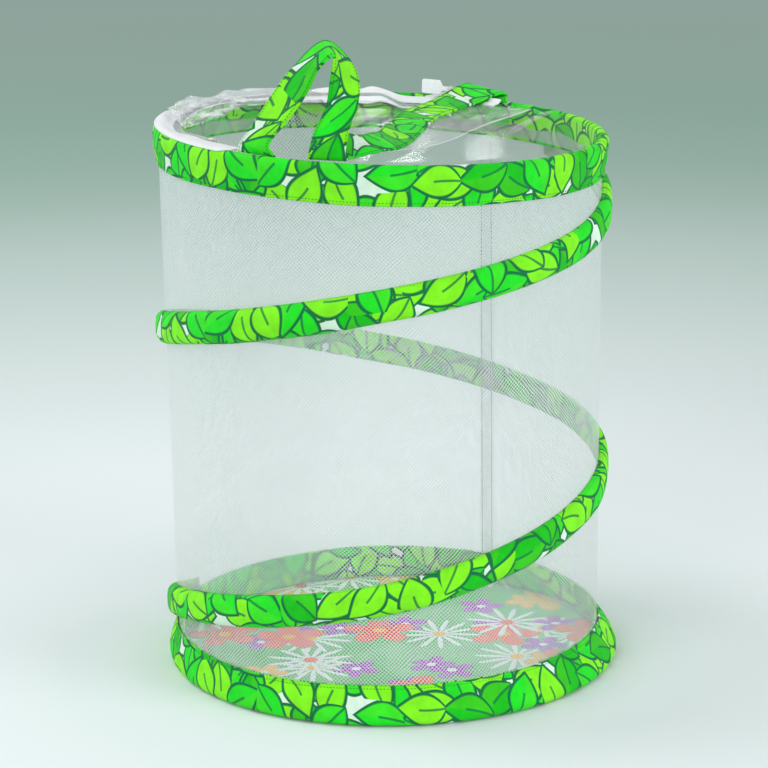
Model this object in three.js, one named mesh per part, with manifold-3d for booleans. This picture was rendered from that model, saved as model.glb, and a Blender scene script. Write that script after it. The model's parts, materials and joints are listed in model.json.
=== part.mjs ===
// Pop-up butterfly habitat: a net cylinder held open by two sprung hoops and a spiral
// spring, with a printed floor, a clear lid that unzips round half of its edge, and a
// carry strap. Millimetres, +Z up, the front towards -Y, the origin at the middle of the
// floor panel's underside. Angles are in degrees from +X, seen from above.

import * as THREE from "three";
import { mergeVertices } from "three/addons/utils/BufferGeometryUtils.js";
import Module from "manifold-3d";

const wasm = await Module();
wasm.setup();

// Overall sizes
const rimHeight = 300; // floor to the top of the upper binding
const rimTilt = 2.3; // degrees, the upper hoop dips to the right
const wallOffset = -3; // the net stands this far to the side of the base hoop's centre
const ringSteps = 64;
const fit = 0.35; // between pieces that lie on each other or are sewn together

// Hoops: sprung wire, the ferrule that joins its ends, and the folded binding
const wireRadius = 1.1;
const wireSides = 6;
const wireEndGap = 1;
const ferruleWall = 0.5;
const ferruleLength = 14;
const ferruleBore = 0.3; // clearance round the wire
const ferruleSides = 8;
const ferruleAngle = 59;
const bindingThickness = 0.8;
const bindingBendSteps = 5;
const baseReach = 127.2; // outer radius at the base
const baseBandHeight = 20.3;
const topReach = 123.8; // outer radius of the upper binding
const topBandHeight = 21;

// Net wall, its upright seam and the floor
const wallThickness = 0.5;
const wallFootInset = 8.2; // of the net's outer side, from the base's outer side
const wallHeadInset = 2.8; // and from the upper binding's
const wallTuck = 8; // the net's edge inside each binding
const seamAngle = 59;
const seamWidth = 9;
const seamThickness = 0.6;
const floorThickness = 1.2;

// Spiral: a folded strip sewn to the net along both edges, with a sprung wire inside
const spiralHeight = 17.5;
const spiralBulge = 6;
const spiralThickness = 0.8;
const spiralShoulderShare = 0.4; // of the half height, where the strip turns over the wire
const spiralShoulderBulgeShare = 0.76;
const spiralLeastHeight = 5; // what is left of the strip where it runs into a binding
const spiralWireClearance = 0.8; // under the fold
const spiralWireLeastHeight = 13; // of the strip, where the wire ends
const spiralFirstStep = 71; // facets of the ring from +X to the upper end, at the back right
const spiralLastStep = -36; // and to the lower end, at the back left
const spiralAngles = [400, 372, 338, 303, 269, 233, 197, 161, 125, 91, 50, 17, -24, -57, -92,
  -129, -167, -192, -204];
const spiralHeightShares = [0.9413, 0.901, 0.8467, 0.8017, 0.7557, 0.7, 0.646, 0.592, 0.5387,
  0.484, 0.4333, 0.3983, 0.3387, 0.2843, 0.2273, 0.18, 0.1253, 0.0763, 0.0563];

// Lid: clear film in two halves, and the line on which the zipped half folds
const filmThickness = 0.5;
const filmDrop = 0.8; // the film's upper side, below the top of the rim
const foldAngle = 54.4; // direction of the fold line, and of the strap's two ends
const foldOffset = 13; // the fold line, from the rim's centre
const foldGap = 0.4; // each film's edge, from the fold line

// Zip: two rows of teeth, between an outer tape on the rim and an inner one on the flap
const chainInset = 12.65; // from the rim's outer side to the middle of the gap between the rows
const chainGap = 1.5;
const chainDrop = 0.3; // underside of the teeth, below the top of the rim
const chainThickness = 1.4;
const toothDepth = 1.1;
const toothPitch = 4;
const toothWidth = 1.7;
const chainSpine = 0.9;
const chainFirstAngle = 64.3;
const chainLastAngle = 219.3;
const tapeThickness = 0.8;
const ringTapeRise = 0.4; // above the rim's top
const ringTapeOverlap = 1.2; // how far short of the rim's outer side the tape ends
const ringTapeFirstAngle = 60.5;
const ringTapeLastAngle = 230.3;
const flapTapeWidth = 8.5;

// Slider, its pull tab and the stops
const sliderAngle = 69.5;
const sliderTravel = 144.5; // degrees along the zip
const sliderLength = 10;
const sliderPlate = 0.9;
const sliderWeb = 0.7;
const sliderClearance = 0.4;
const sliderTopWidth = 6.7;
const sliderFootWidth = 5.7;
const sliderSteps = 3;
const stopPlate = 0.6;
const stopLength = 3.6;
const stopGap = 0.6; // to the slider, at either end of its travel
const earThickness = 1;
const earRadius = 1.4;
const earRoot = 0.3; // of each ear inside the slider's plate
const pinRadius = 0.55;
const pinSides = 12;
const tabSeat = 3.4; // the tab's middle, out from the slider's inner side
const tabThickness = 1.2;
const tabWidth = 6.4;
const tabLength = 19; // from the pin
const tabNeckWidth = 2.4;
const tabNeckLength = 5.2; // clear of the slider's end
const tabShoulder = 2.2;
const tabCorner = 1.4;
const tabEyeRadius = 1.5;
const tabEyeClearance = 0.3;
const arcSteps = 5;
const endTabAngle = 54.6;
const endTabLength = 8;
const endTabWidth = 9;
const endTabThickness = 1.4;
const endTabInset = 19.8; // of its inner end, from the rim's outer side

// Carry strap: both edges pass through these places. Each row holds the plan place as a share
// of the rim's radius, as x and y, and the height above the rim, for the two edges in turn.
const strapThickness = 1.6;
const strapSteps = 46;
const strapLoopHeight = 57;
const strapRootDrop = 0.3;
const strapRootInset = 5.8; // the sewn ends, in from the rim's outer side
const strapFrontAngles = [231.2, 242.6];
const strapBackAngles = [58.5, 48.5];
const strapShares = [
  [-0.594, -0.739, 0.054, -0.473, -0.844, 0.098],
  [-0.493, -0.735, 0.3, -0.376, -0.876, 0.347],
  [-0.428, -0.727, 0.53, -0.331, -0.884, 0.574],
  [-0.347, -0.723, 0.763, -0.258, -0.889, 0.804],
  [-0.23, -0.719, 1, -0.205, -0.897, 0.93],
  [-0.129, -0.727, 0.893, -0.183, -0.889, 0.9],
  [-0.101, -0.727, 0.667, -0.208, -0.872, 0.691],
  [-0.103, -0.735, 0.442, -0.222, -0.864, 0.463],
  [-0.135, -0.747, 0.216, -0.277, -0.856, 0.232],
  [-0.113, -0.727, 0.184, -0.304, -0.856, 0.02],
  [-0.073, -0.695, 0.211, -0.162, -0.82, 0.018],
  [0, -0.606, 0.272, -0.04, -0.703, 0.018],
  [0.097, -0.452, 0.307, 0.076, -0.533, 0.018],
  [0.238, 0.032, 0.246, 0.21, -0.081, 0.018],
  [0.376, 0.452, 0.211, 0.355, 0.331, 0.02],
  [0.464, 0.759, 0.14, 0.493, 0.638, 0.06],
  [0.485, 0.8, 0.105, 0.614, 0.703, 0.095],
];

// Derived sizes
const ferruleRadius = wireRadius + ferruleBore + ferruleWall;
const channelRadius = ferruleRadius + fit;
const bendRadius = channelRadius + bindingThickness / 2;
const foldRadius = channelRadius + bindingThickness;
const baseHoopRadius = baseReach - foldRadius;
const topHoopRadius = topReach - foldRadius;
const chainRadius = topReach - chainInset;
const wallFootRadius = baseReach - wallFootInset;
const wallHeadRadius = topReach - wallHeadInset;
const wallFootMiddle = wallFootRadius - wallThickness / 2;
const wallHeadMiddle = wallHeadRadius - wallThickness / 2;
const legOffset = wallThickness / 2 + fit + bindingThickness / 2;
const filmUnder = filmDrop + filmThickness;
const filmRadius = topHoopRadius - Math.sqrt(foldRadius ** 2 - (foldRadius - filmUnder) ** 2) - fit;
const ringTeethTip = chainRadius + chainGap / 2;
const flapTeethTip = chainRadius - chainGap / 2;
const ringChainOuter = ringTeethTip + toothDepth + chainSpine;
const flapChainInner = flapTeethTip - toothDepth - chainSpine;
const chainTop = chainThickness - chainDrop;
const sliderInner = chainRadius - sliderWeb / 2;
const sliderTop = chainTop + sliderClearance + sliderPlate;
const pinHeight = ringTapeRise + tapeThickness + fit + tabWidth / 2;
const tabRadius = sliderInner + tabSeat;
const ringStep = 360 / ringSteps;

const radians = (degrees) => (degrees * Math.PI) / 180;
const degreesOf = (length, radius) => (length / radius) * (180 / Math.PI);
const along = (from, to, share) => from + (to - from) * share;

// The rim's own frame: its plane is level, and its top is at height zero
const rim = new THREE.Group();
rim.position.set(wallOffset, 0, rimHeight);
rim.rotation.y = radians(rimTilt);
rim.updateMatrix();

function rimPoint(radius, angle, height) {
  const turn = radians(angle);
  return new THREE.Vector3(radius * Math.cos(turn), radius * Math.sin(turn), height);
}

// A place on the base: above the hoop it slides over to where the net stands
function basePoint(radius, angle, height) {
  const share = THREE.MathUtils.clamp((height - foldRadius) / (baseBandHeight - foldRadius), 0, 1);
  const point = rimPoint(radius, angle, height);
  point.x += wallOffset * share;
  return point;
}

// How far in a ring's flat facet lies at an angle, as a share of its radius at the corners
function facetShare(angle) {
  const offCentre = THREE.MathUtils.euclideanModulo(angle, ringStep) - ringStep / 2;
  return Math.cos(radians(ringStep / 2)) / Math.cos(radians(offCentre));
}

// A place at a distance out from the net, at a height between the two bindings
function wallPoint(out, angle, height) {
  const headHeight = rimHeight - topBandHeight;
  const share = facetShare(angle);
  const foot = basePoint((wallFootRadius + out) * share, angle, baseBandHeight);
  const head = rimPoint((wallHeadRadius + out) * share, angle, -topBandHeight);
  head.applyMatrix4(rim.matrix);
  return foot.lerp(head, (height - baseBandHeight) / (headHeight - baseBandHeight));
}

// The two ends of a stretch and the corners of the ring's facets between them
function facetAngles(first, last) {
  const angles = [first];
  let angle = (Math.floor(first / ringStep) + 1) * ringStep;
  for (; angle < last; angle += ringStep) {
    angles.push(angle);
  }
  return [...angles, last];
}

// Triangles of a flat loop, wound as the loop is
function capFaces(loop) {
  const normal = new THREE.Vector3();
  loop.forEach((point, i) => {
    normal.add(new THREE.Vector3().crossVectors(point, loop[(i + 1) % loop.length]));
  });
  const across = new THREE.Vector3().subVectors(loop[1], loop[0]).normalize();
  const up = new THREE.Vector3().crossVectors(normal, across).normalize();
  const flat = loop.map((point) => new THREE.Vector2(point.dot(across), point.dot(up)));
  return THREE.ShapeUtils.triangulateShape(flat, []).map(([a, b, c]) => {
    const side = flat[b].clone().sub(flat[a]).cross(flat[c].clone().sub(flat[a]));
    return side < 0 ? [a, c, b] : [a, b, c];
  });
}

function signedVolume(positions, faces) {
  const corner = (n) => new THREE.Vector3().fromArray(positions, 3 * n);
  let sum = 0;
  for (let i = 0; i < faces.length; i += 3) {
    sum += corner(faces[i]).dot(corner(faces[i + 1]).cross(corner(faces[i + 2])));
  }
  return sum;
}

// A closed body through a row of loops of points: round a ring, or from end cap to end cap
function bodyThrough(loops, isRing) {
  const count = loops[0].length;
  const positions = loops.flat().flatMap((point) => point.toArray());
  const faces = [];
  const spans = isRing ? loops.length : loops.length - 1;
  for (let i = 0; i < spans; i += 1) {
    const near = i * count;
    const far = ((i + 1) % loops.length) * count;
    for (let j = 0; j < count; j += 1) {
      const k = (j + 1) % count;
      faces.push(near + j, far + j, far + k, near + j, far + k, near + k);
    }
  }
  if (!isRing) {
    const last = spans * count;
    capFaces(loops[0]).forEach(([a, b, c]) => faces.push(a, b, c));
    capFaces(loops[spans]).forEach(([a, b, c]) => faces.push(last + a, last + c, last + b));
  }
  if (signedVolume(positions, faces) < 0) {
    faces.reverse();
  }
  const geometry = new THREE.BufferGeometry();
  geometry.setAttribute("position", new THREE.Float32BufferAttribute(positions, 3));
  geometry.setIndex(faces);
  return geometry;
}

// A section swept round a whole ring, or round the part between two angles
function ringOf(section, place) {
  const angles = Array.from({ length: ringSteps }, (_, i) => i * ringStep);
  return bodyThrough(angles.map((angle) => section.map(([r, z]) => place(r, angle, z))), true);
}

function arcOf(section, place, angles) {
  const loops = angles.map((angle) => {
    const share = facetShare(angle);
    return section.map(([r, z]) => place(r * share, angle, z));
  });
  return bodyThrough(loops, false);
}

// A flat plate of this outline between two heights
function plate(outline, low, high) {
  const shape = new THREE.Shape(outline);
  const geometry = new THREE.ExtrudeGeometry(shape, { depth: high - low, bevelEnabled: false });
  return geometry.translate(0, 0, low);
}

const flatPoint = (radius, angle) => {
  const point = rimPoint(radius, angle, 0);
  return new THREE.Vector2(point.x, point.y);
};

// Joins closed bodies into one
function joined(geometries) {
  const solids = geometries.map((geometry) => {
    const bare = geometry.clone();
    bare.deleteAttribute("normal");
    bare.deleteAttribute("uv");
    const merged = mergeVertices(bare);
    return new wasm.Manifold(new wasm.Mesh({
      numProp: 3,
      vertProperties: new Float32Array(merged.getAttribute("position").array),
      triVerts: new Uint32Array(merged.getIndex().array),
    }));
  });
  const mesh = solids.reduce((whole, solid) => whole.add(solid)).getMesh();
  const geometry = new THREE.BufferGeometry();
  geometry.setAttribute("position", new THREE.Float32BufferAttribute(mesh.vertProperties, 3));
  geometry.setIndex(Array.from(mesh.triVerts));
  return geometry;
}

// A smooth value through a table of places and values
function smoothValue(places, values, place) {
  const last = places.length - 1;
  const slope = (i) => {
    const before = Math.max(i - 1, 0);
    const after = Math.min(i + 1, last);
    return (values[after] - values[before]) / (places[after] - places[before]);
  };
  const next = places.findIndex((p) => p <= place);
  const i = THREE.MathUtils.clamp(next === -1 ? last : next, 1, last);
  const span = places[i] - places[i - 1];
  const t = (place - places[i - 1]) / span;
  const bend = span * (t * (1 - t) ** 2 * slope(i - 1) - t * t * (1 - t) * slope(i));
  return along(values[i - 1], values[i], t * t * (3 - 2 * t)) + bend;
}

// Finishes
function finish(color, roughness, metalness = 0) {
  return new THREE.MeshStandardMaterial({ color, roughness, metalness });
}
const leafCloth = () => finish(0x5fdc3c, 0.8);
const flowerCloth = () => finish(0xcfe8cc, 0.8);
const whiteNet = () => finish(0xf2f6f6, 0.7);
const whiteTape = () => finish(0xf5f5f5, 0.7);
const zipPlastic = () => finish(0xe4e4e4, 0.4);
const clearFilm = () => finish(0xdfe9ea, 0.1);
const springSteel = () => finish(0x8a8d90, 0.35, 1);

function piece(name, geometry, material) {
  const mesh = new THREE.Mesh(geometry, material);
  mesh.name = name;
  return mesh;
}

// Section of a strip folded round a hoop: two legs run from a round bend to the net. The ends
// are on the strip's middle line, and side is 1 where the legs hang down and -1 where they
// stand up.
function foldedSection(hoopRadius, hoopHeight, outerEnd, innerEnd, side) {
  const tangent = ([r, z], turn) => {
    const reach = Math.hypot(r - hoopRadius, z - hoopHeight);
    return Math.atan2(z - hoopHeight, r - hoopRadius) + turn * Math.acos(bendRadius / reach);
  };
  const first = tangent(outerEnd, side);
  let last = tangent(innerEnd, -side);
  while (side * (last - first) < 0) {
    last += side * 2 * Math.PI;
  }
  const moved = ([r, z], angle, out) => [r + out * Math.cos(angle), z + out * Math.sin(angle)];
  const surface = (out) => {
    const bend = Array.from({ length: bindingBendSteps + 1 }, (_, i) => {
      const angle = along(first, last, i / bindingBendSteps);
      return moved([hoopRadius, hoopHeight], angle, bendRadius + out);
    });
    return [moved(outerEnd, first, out), ...bend, moved(innerEnd, last, out)];
  };
  return [...surface(bindingThickness / 2), ...surface(-bindingThickness / 2).reverse()];
}

function baseBinding() {
  const outerEnd = [wallFootMiddle + legOffset, baseBandHeight];
  const innerEnd = [wallFootMiddle - legOffset, baseBandHeight];
  const section = foldedSection(baseHoopRadius, foldRadius, outerEnd, innerEnd, -1);
  return ringOf(section, basePoint);
}

function topBinding() {
  const outerEnd = [wallHeadMiddle + legOffset, -topBandHeight];
  const innerEnd = [wallHeadMiddle - legOffset, -topBandHeight];
  return ringOf(foldedSection(topHoopRadius, -foldRadius, outerEnd, innerEnd, 1), rimPoint);
}

// Sprung wire, open where its two ends meet inside the ferrule
function hoopWire(radius, height, place) {
  const section = Array.from({ length: wireSides }, (_, i) => {
    const turn = (2 * Math.PI * i) / wireSides;
    return [radius + wireRadius * Math.cos(turn), height + wireRadius * Math.sin(turn)];
  });
  const gap = degreesOf(wireEndGap / 2, radius);
  const angles = facetAngles(ferruleAngle + gap, ferruleAngle + 360 - gap);
  return arcOf(section, place, angles);
}

// Tube round the wire's two ends, bent as the hoop is
function hoopFerrule(radius, height, place) {
  const half = degreesOf(ferruleLength / 2, radius);
  const angles = facetAngles(ferruleAngle - half, ferruleAngle + half);
  const boreRadius = (wireRadius + ferruleBore) / Math.cos(Math.PI / ferruleSides);
  const line = (size, turn) => angles.map((angle) => {
    const reach = radius + size * Math.cos(turn);
    return place(reach * facetShare(angle), angle, height + size * Math.sin(turn));
  });
  const loops = Array.from({ length: ferruleSides }, (_, i) => {
    const turn = (2 * Math.PI * i) / ferruleSides;
    return [...line(ferruleRadius, turn), ...line(boreRadius, turn).reverse()];
  });
  return bodyThrough(loops, true);
}

function floorPanel() {
  const radius = baseHoopRadius - foldRadius - fit;
  const outline = Array.from({ length: ringSteps }, (_, i) => flatPoint(radius, i * ringStep));
  return plate(outline, 0, floorThickness);
}

// Net wall: its lower edge flares with the base binding, its upper edge stands in the upper one
function meshWall() {
  const flare = (wallTuck / (baseBandHeight - foldRadius)) * (baseHoopRadius - wallFootMiddle);
  const side = (out, angle) => [
    basePoint(wallFootRadius + out + flare, angle, baseBandHeight - wallTuck),
    wallPoint(out, angle, baseBandHeight),
    wallPoint(out, angle, rimHeight - topBandHeight),
    rimPoint(wallHeadRadius + out, angle, wallTuck - topBandHeight).applyMatrix4(rim.matrix),
  ];
  const loops = Array.from({ length: ringSteps }, (_, i) => {
    const angle = i * ringStep;
    return [...side(0, angle), ...side(-wallThickness, angle).reverse()];
  });
  return bodyThrough(loops, true);
}

// Tape behind the upright seam, inside the net
function wallSeamTape() {
  const half = degreesOf(seamWidth / 2, wallFootRadius);
  const outer = -wallThickness - fit;
  const corners = [[outer, -half], [outer, half]];
  const inner = corners.map(([out, aside]) => [out - seamThickness, aside]).reverse();
  const row = (height) => [...corners, ...inner].map(([out, aside]) => (
    wallPoint(out, seamAngle + aside, height)
  ));
  return bodyThrough([row(baseBandHeight + fit), row(rimHeight - topBandHeight - fit)], false);
}

// The spiral's strip at each facet's corner: its angle, middle height, height and bulge.
// At either end the binding's edge cuts it down until too little is left.
function spiralStations() {
  const heights = spiralHeightShares.map((share) => share * rimHeight);
  const highest = rimHeight - topBandHeight - fit;
  const lowest = baseBandHeight + fit;
  const stations = [];
  for (let step = spiralFirstStep; step >= spiralLastStep; step -= 1) {
    const angle = step * ringStep;
    const middle = smoothValue(spiralAngles, heights, angle);
    const top = Math.min(middle + spiralHeight / 2, highest);
    const foot = Math.max(middle - spiralHeight / 2, lowest);
    if (top - foot >= spiralLeastHeight) {
      const bulge = spiralBulge * Math.sqrt((top - foot) / spiralHeight);
      stations.push({ angle, middle: (top + foot) / 2, height: top - foot, bulge });
    }
  }
  return stations;
}

function spiralBinding() {
  const loops = spiralStations().map(({ angle, middle, height, bulge }) => {
    const shoulder = (height / 2) * spiralShoulderShare;
    const outer = [
      [fit + spiralThickness, height / 2],
      [bulge * spiralShoulderBulgeShare, shoulder],
      [bulge, 0],
      [bulge * spiralShoulderBulgeShare, -shoulder],
      [fit + spiralThickness, -height / 2],
    ];
    const inner = outer.map(([out, rise]) => [out - spiralThickness, rise]).reverse();
    return [...outer, ...inner].map(([out, rise]) => wallPoint(out, angle, middle + rise));
  });
  return bodyThrough(loops, false);
}

// Sprung wire of the spiral, one unbroken coil
function spiralWire() {
  const held = spiralStations().filter(({ height }) => height >= spiralWireLeastHeight);
  const loops = held.map(({ angle, middle, bulge }) => {
    const seat = bulge - spiralThickness - spiralWireClearance - wireRadius;
    return Array.from({ length: wireSides }, (_, i) => {
      const turn = (2 * Math.PI * i) / wireSides;
      const out = seat + wireRadius * Math.cos(turn);
      return wallPoint(out, angle, middle + wireRadius * Math.sin(turn));
    });
  });
  const middles = loops.map((loop) => (
    loop.reduce((sum, point) => sum.add(point), new THREE.Vector3()).divideScalar(wireSides)
  ));
  let least = Infinity;
  middles.forEach((point, i) => {
    middles.slice(i + ringSteps / 2).forEach((other) => {
      least = Math.min(least, point.distanceTo(other));
    });
  });
  console.log(`spiral_wire: least gap to itself ${(least - 2 * wireRadius).toFixed(1)} mm`);
  return bodyThrough(loops, false);
}

// One half of the lid's film: a straight edge beside the fold line and an arc
function filmHalf(radius, edge, side) {
  const bend = (Math.asin(edge / radius) * 180) / Math.PI;
  const first = side > 0 ? foldAngle + bend : foldAngle + 180 - bend;
  const last = side > 0 ? foldAngle + 180 - bend : foldAngle + 360 + bend;
  const outline = facetAngles(first, last).map((angle) => (
    flatPoint(radius * facetShare(angle), angle)
  ));
  return plate(outline, -filmUnder, -filmDrop);
}

// A row of teeth on a curved spine. side is 1 where the teeth point out from the rim's centre.
function zipperChain(spineRadius, side) {
  const tip = side > 0 ? flapTeethTip : ringTeethTip;
  const root = tip - side * toothDepth;
  const pitch = degreesOf(toothPitch, chainRadius);
  const half = degreesOf(toothWidth / 2, chainRadius);
  const count = Math.floor((chainLastAngle - chainFirstAngle) / pitch) - 1;
  const spine = facetAngles(chainFirstAngle, chainLastAngle).map((angle) => (
    flatPoint(spineRadius, angle)
  ));
  const teeth = [];
  for (let i = 0; i < count; i += 1) {
    const angle = chainFirstAngle + pitch * (i + (side > 0 ? 1 : 0.5));
    teeth.push(
      flatPoint(root, angle - half),
      flatPoint(tip, angle - half),
      flatPoint(tip, angle + half),
      flatPoint(root, angle + half),
    );
  }
  teeth.unshift(flatPoint(root, chainFirstAngle));
  teeth.push(flatPoint(root, chainLastAngle));
  return plate([...teeth, ...spine.reverse()], -chainDrop, chainTop);
}

function tapeSection(inner, outer, low) {
  const high = low + tapeThickness;
  return [[inner, low], [outer, low], [outer, high], [inner, high]];
}

function ringTape() {
  const section = tapeSection(ringChainOuter + fit, topReach - ringTapeOverlap, ringTapeRise);
  return arcOf(section, rimPoint, facetAngles(ringTapeFirstAngle, ringTapeLastAngle));
}

function flapTape() {
  const outer = flapChainInner - fit;
  const section = tapeSection(outer - flapTapeWidth, outer, fit - filmDrop);
  return arcOf(section, rimPoint, facetAngles(chainFirstAngle, chainLastAngle));
}

// A clamp round the rim's row of teeth, open towards the tape
function chainClamp(length, plateThickness, footWidth, topWidth, middleAngle) {
  const web = sliderInner + sliderWeb;
  const foot = -chainDrop - sliderClearance;
  const head = chainTop + sliderClearance;
  const section = [
    [sliderInner, foot - plateThickness],
    [sliderInner + footWidth, foot - plateThickness],
    [sliderInner + footWidth, foot],
    [web, foot],
    [web, head],
    [sliderInner + topWidth, head],
    [sliderInner + topWidth, head + plateThickness],
    [sliderInner, head + plateThickness],
  ];
  const half = degreesOf(length / 2, chainRadius);
  const loops = Array.from({ length: sliderSteps + 1 }, (_, i) => {
    const angle = middleAngle + along(-half, half, i / sliderSteps);
    return section.map(([r, z]) => rimPoint(r, angle, z));
  });
  return bodyThrough(loops, false);
}

// Turns a shape that is drawn along the zip and upwards so that it stands on the slider
function standOnSlider(geometry, radius) {
  const frame = new THREE.Matrix4().makeBasis(
    new THREE.Vector3(0, 1, 0),
    new THREE.Vector3(0, 0, 1),
    new THREE.Vector3(1, 0, 0),
  );
  return geometry.applyMatrix4(frame).translate(radius, 0, 0).rotateZ(radians(sliderAngle));
}

function zipperSlider() {
  const clamp = chainClamp(sliderLength, sliderPlate, sliderFootWidth, sliderTopWidth, sliderAngle);
  const outline = new THREE.Shape();
  outline.moveTo(-earRadius, sliderTop - earRoot);
  outline.lineTo(earRadius, sliderTop - earRoot);
  outline.lineTo(earRadius, pinHeight);
  outline.absarc(0, pinHeight, earRadius, 0, Math.PI, false);
  const options = { depth: earThickness, bevelEnabled: false, curveSegments: arcSteps };
  const aside = tabThickness / 2 + fit;
  const ears = [-aside - earThickness, aside].map((start) => (
    standOnSlider(new THREE.ExtrudeGeometry(outline, options), tabRadius + start)
  ));
  const pinLength = 2 * aside + earThickness;
  const pin = new THREE.CylinderGeometry(pinRadius, pinRadius, pinLength, pinSides);
  pin.rotateX(Math.PI / 2).translate(0, pinHeight, 0);
  return joined([clamp, ...ears, standOnSlider(pin, tabRadius)]);
}

// Pull tab: an eye on the pin, a neck and a broad blade that lies on edge along the tape
function pullTab() {
  const half = tabWidth / 2;
  const neck = tabNeckWidth / 2;
  const turn = Math.asin(neck / tabEyeRadius);
  const bladeStart = tabNeckLength + tabShoulder;
  const cornerAt = tabLength - tabCorner;
  const outline = new THREE.Shape();
  outline.absarc(0, pinHeight, tabEyeRadius, turn, 2 * Math.PI - turn, false);
  outline.lineTo(tabNeckLength, pinHeight - neck);
  outline.lineTo(bladeStart, pinHeight - half);
  outline.absarc(cornerAt, pinHeight - half + tabCorner, tabCorner, -Math.PI / 2, 0, false);
  outline.absarc(cornerAt, pinHeight + half - tabCorner, tabCorner, 0, Math.PI / 2, false);
  outline.lineTo(bladeStart, pinHeight + half);
  outline.lineTo(tabNeckLength, pinHeight + neck);
  const eye = new THREE.Path();
  eye.absarc(0, pinHeight, pinRadius + tabEyeClearance, 0, 2 * Math.PI, true);
  outline.holes.push(eye);
  const options = { depth: tabThickness, bevelEnabled: false, curveSegments: arcSteps };
  return standOnSlider(new THREE.ExtrudeGeometry(outline, options), tabRadius - tabThickness / 2);
}

// Cloth tab over the zip's closed end
function zipperEndTab() {
  const half = endTabWidth / 2;
  const inner = topReach - endTabInset;
  const outer = inner + endTabLength;
  const outline = [
    [inner, -half], [outer, -half], [outer, half], [inner, half],
  ].map(([x, y]) => new THREE.Vector2(x, y));
  const low = fit - filmDrop;
  return plate(outline, low, low + endTabThickness).rotateZ(radians(endTabAngle));
}

// Carry strap: a flat strip between two edges that rise from the front of the rim in a loop,
// come down to the film and run across it to the back
function carryStrap() {
  const rootRadius = topReach - strapRootInset;
  const root = (angles) => angles.map((angle) => rimPoint(rootRadius, angle, -strapRootDrop));
  const rows = strapShares.map((shares) => [0, 3].map((start) => new THREE.Vector3(
    shares[start] * topReach,
    shares[start + 1] * topReach,
    shares[start + 2] * strapLoopHeight,
  )));
  const all = [root(strapFrontAngles), ...rows, root(strapBackAngles)];
  const edges = [0, 1].map((i) => new THREE.CatmullRomCurve3(all.map((row) => row[i])));
  const middle = (t) => edges[0].getPoint(t).lerp(edges[1].getPoint(t), 0.5);
  const loops = Array.from({ length: strapSteps + 1 }, (_, i) => {
    const t = i / strapSteps;
    const before = middle(Math.max(t - 1 / strapSteps, 0));
    const forward = middle(Math.min(t + 1 / strapSteps, 1)).sub(before);
    const [one, other] = edges.map((edge) => edge.getPoint(t));
    const normal = new THREE.Vector3().subVectors(other, one).cross(forward);
    normal.setLength(strapThickness / 2);
    return [
      one.clone().add(normal), other.clone().add(normal),
      other.clone().sub(normal), one.clone().sub(normal),
    ];
  });
  return bodyThrough(loops, false);
}

// The habitat
const baseWire = hoopWire(baseHoopRadius, foldRadius, basePoint);
const baseFerrule = hoopFerrule(baseHoopRadius, foldRadius, basePoint);
const topWire = hoopWire(topHoopRadius, -foldRadius, rimPoint);
const topFerrule = hoopFerrule(topHoopRadius, -foldRadius, rimPoint);
const stopTurn = degreesOf(sliderLength / 2 + stopGap + stopLength / 2, chainRadius);
const stopFoot = ringChainOuter - sliderInner;
const stopTop = tabSeat - tabThickness / 2 - fit;
const stopAt = (angle) => chainClamp(stopLength, stopPlate, stopFoot, stopTop, angle);

rim.add(
  piece("top_binding", topBinding(), leafCloth()),
  piece("top_hoop_wire", topWire, springSteel()),
  piece("top_hoop_ferrule", topFerrule, springSteel()),
  piece("lid_fixed_film", filmHalf(filmRadius, foldOffset - foldGap, -1), clearFilm()),
  piece("lid_flap_film", filmHalf(flapTeethTip, foldOffset + foldGap, 1), clearFilm()),
  piece("zipper_tape_ring", ringTape(), whiteTape()),
  piece("zipper_chain_ring", zipperChain(ringChainOuter, -1), zipPlastic()),
  piece("zipper_tape_flap", flapTape(), whiteTape()),
  piece("zipper_chain_flap", zipperChain(flapChainInner, 1), zipPlastic()),
  piece("zipper_stop_rear", stopAt(sliderAngle - stopTurn), zipPlastic()),
  piece("zipper_stop_front", stopAt(sliderAngle + sliderTravel + stopTurn), zipPlastic()),
  piece("zipper_end_tab", zipperEndTab(), whiteTape()),
  piece("zipper_slider", zipperSlider(), zipPlastic()),
  piece("slider_pull_tab", pullTab(), whiteTape()),
  piece("carry_strap", carryStrap(), leafCloth()),
);

const habitat = new THREE.Group();
habitat.add(
  piece("floor_panel", floorPanel(), flowerCloth()),
  piece("base_binding", baseBinding(), leafCloth()),
  piece("base_hoop_wire", baseWire, springSteel()),
  piece("base_hoop_ferrule", baseFerrule, springSteel()),
  piece("mesh_wall", meshWall(), whiteNet()),
  piece("wall_seam_tape", wallSeamTape(), whiteTape()),
  piece("spiral_binding", spiralBinding(), leafCloth()),
  piece("spiral_wire", spiralWire(), springSteel()),
  rim,
);

export default habitat;
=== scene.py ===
"""Pop-up butterfly habitat: the cloth, net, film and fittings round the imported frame."""

import json
import math

import bmesh
import bpy
from bpy.props import FloatProperty, FloatVectorProperty, IntProperty, PointerProperty
from mathutils import Matrix, Vector, noise


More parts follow.
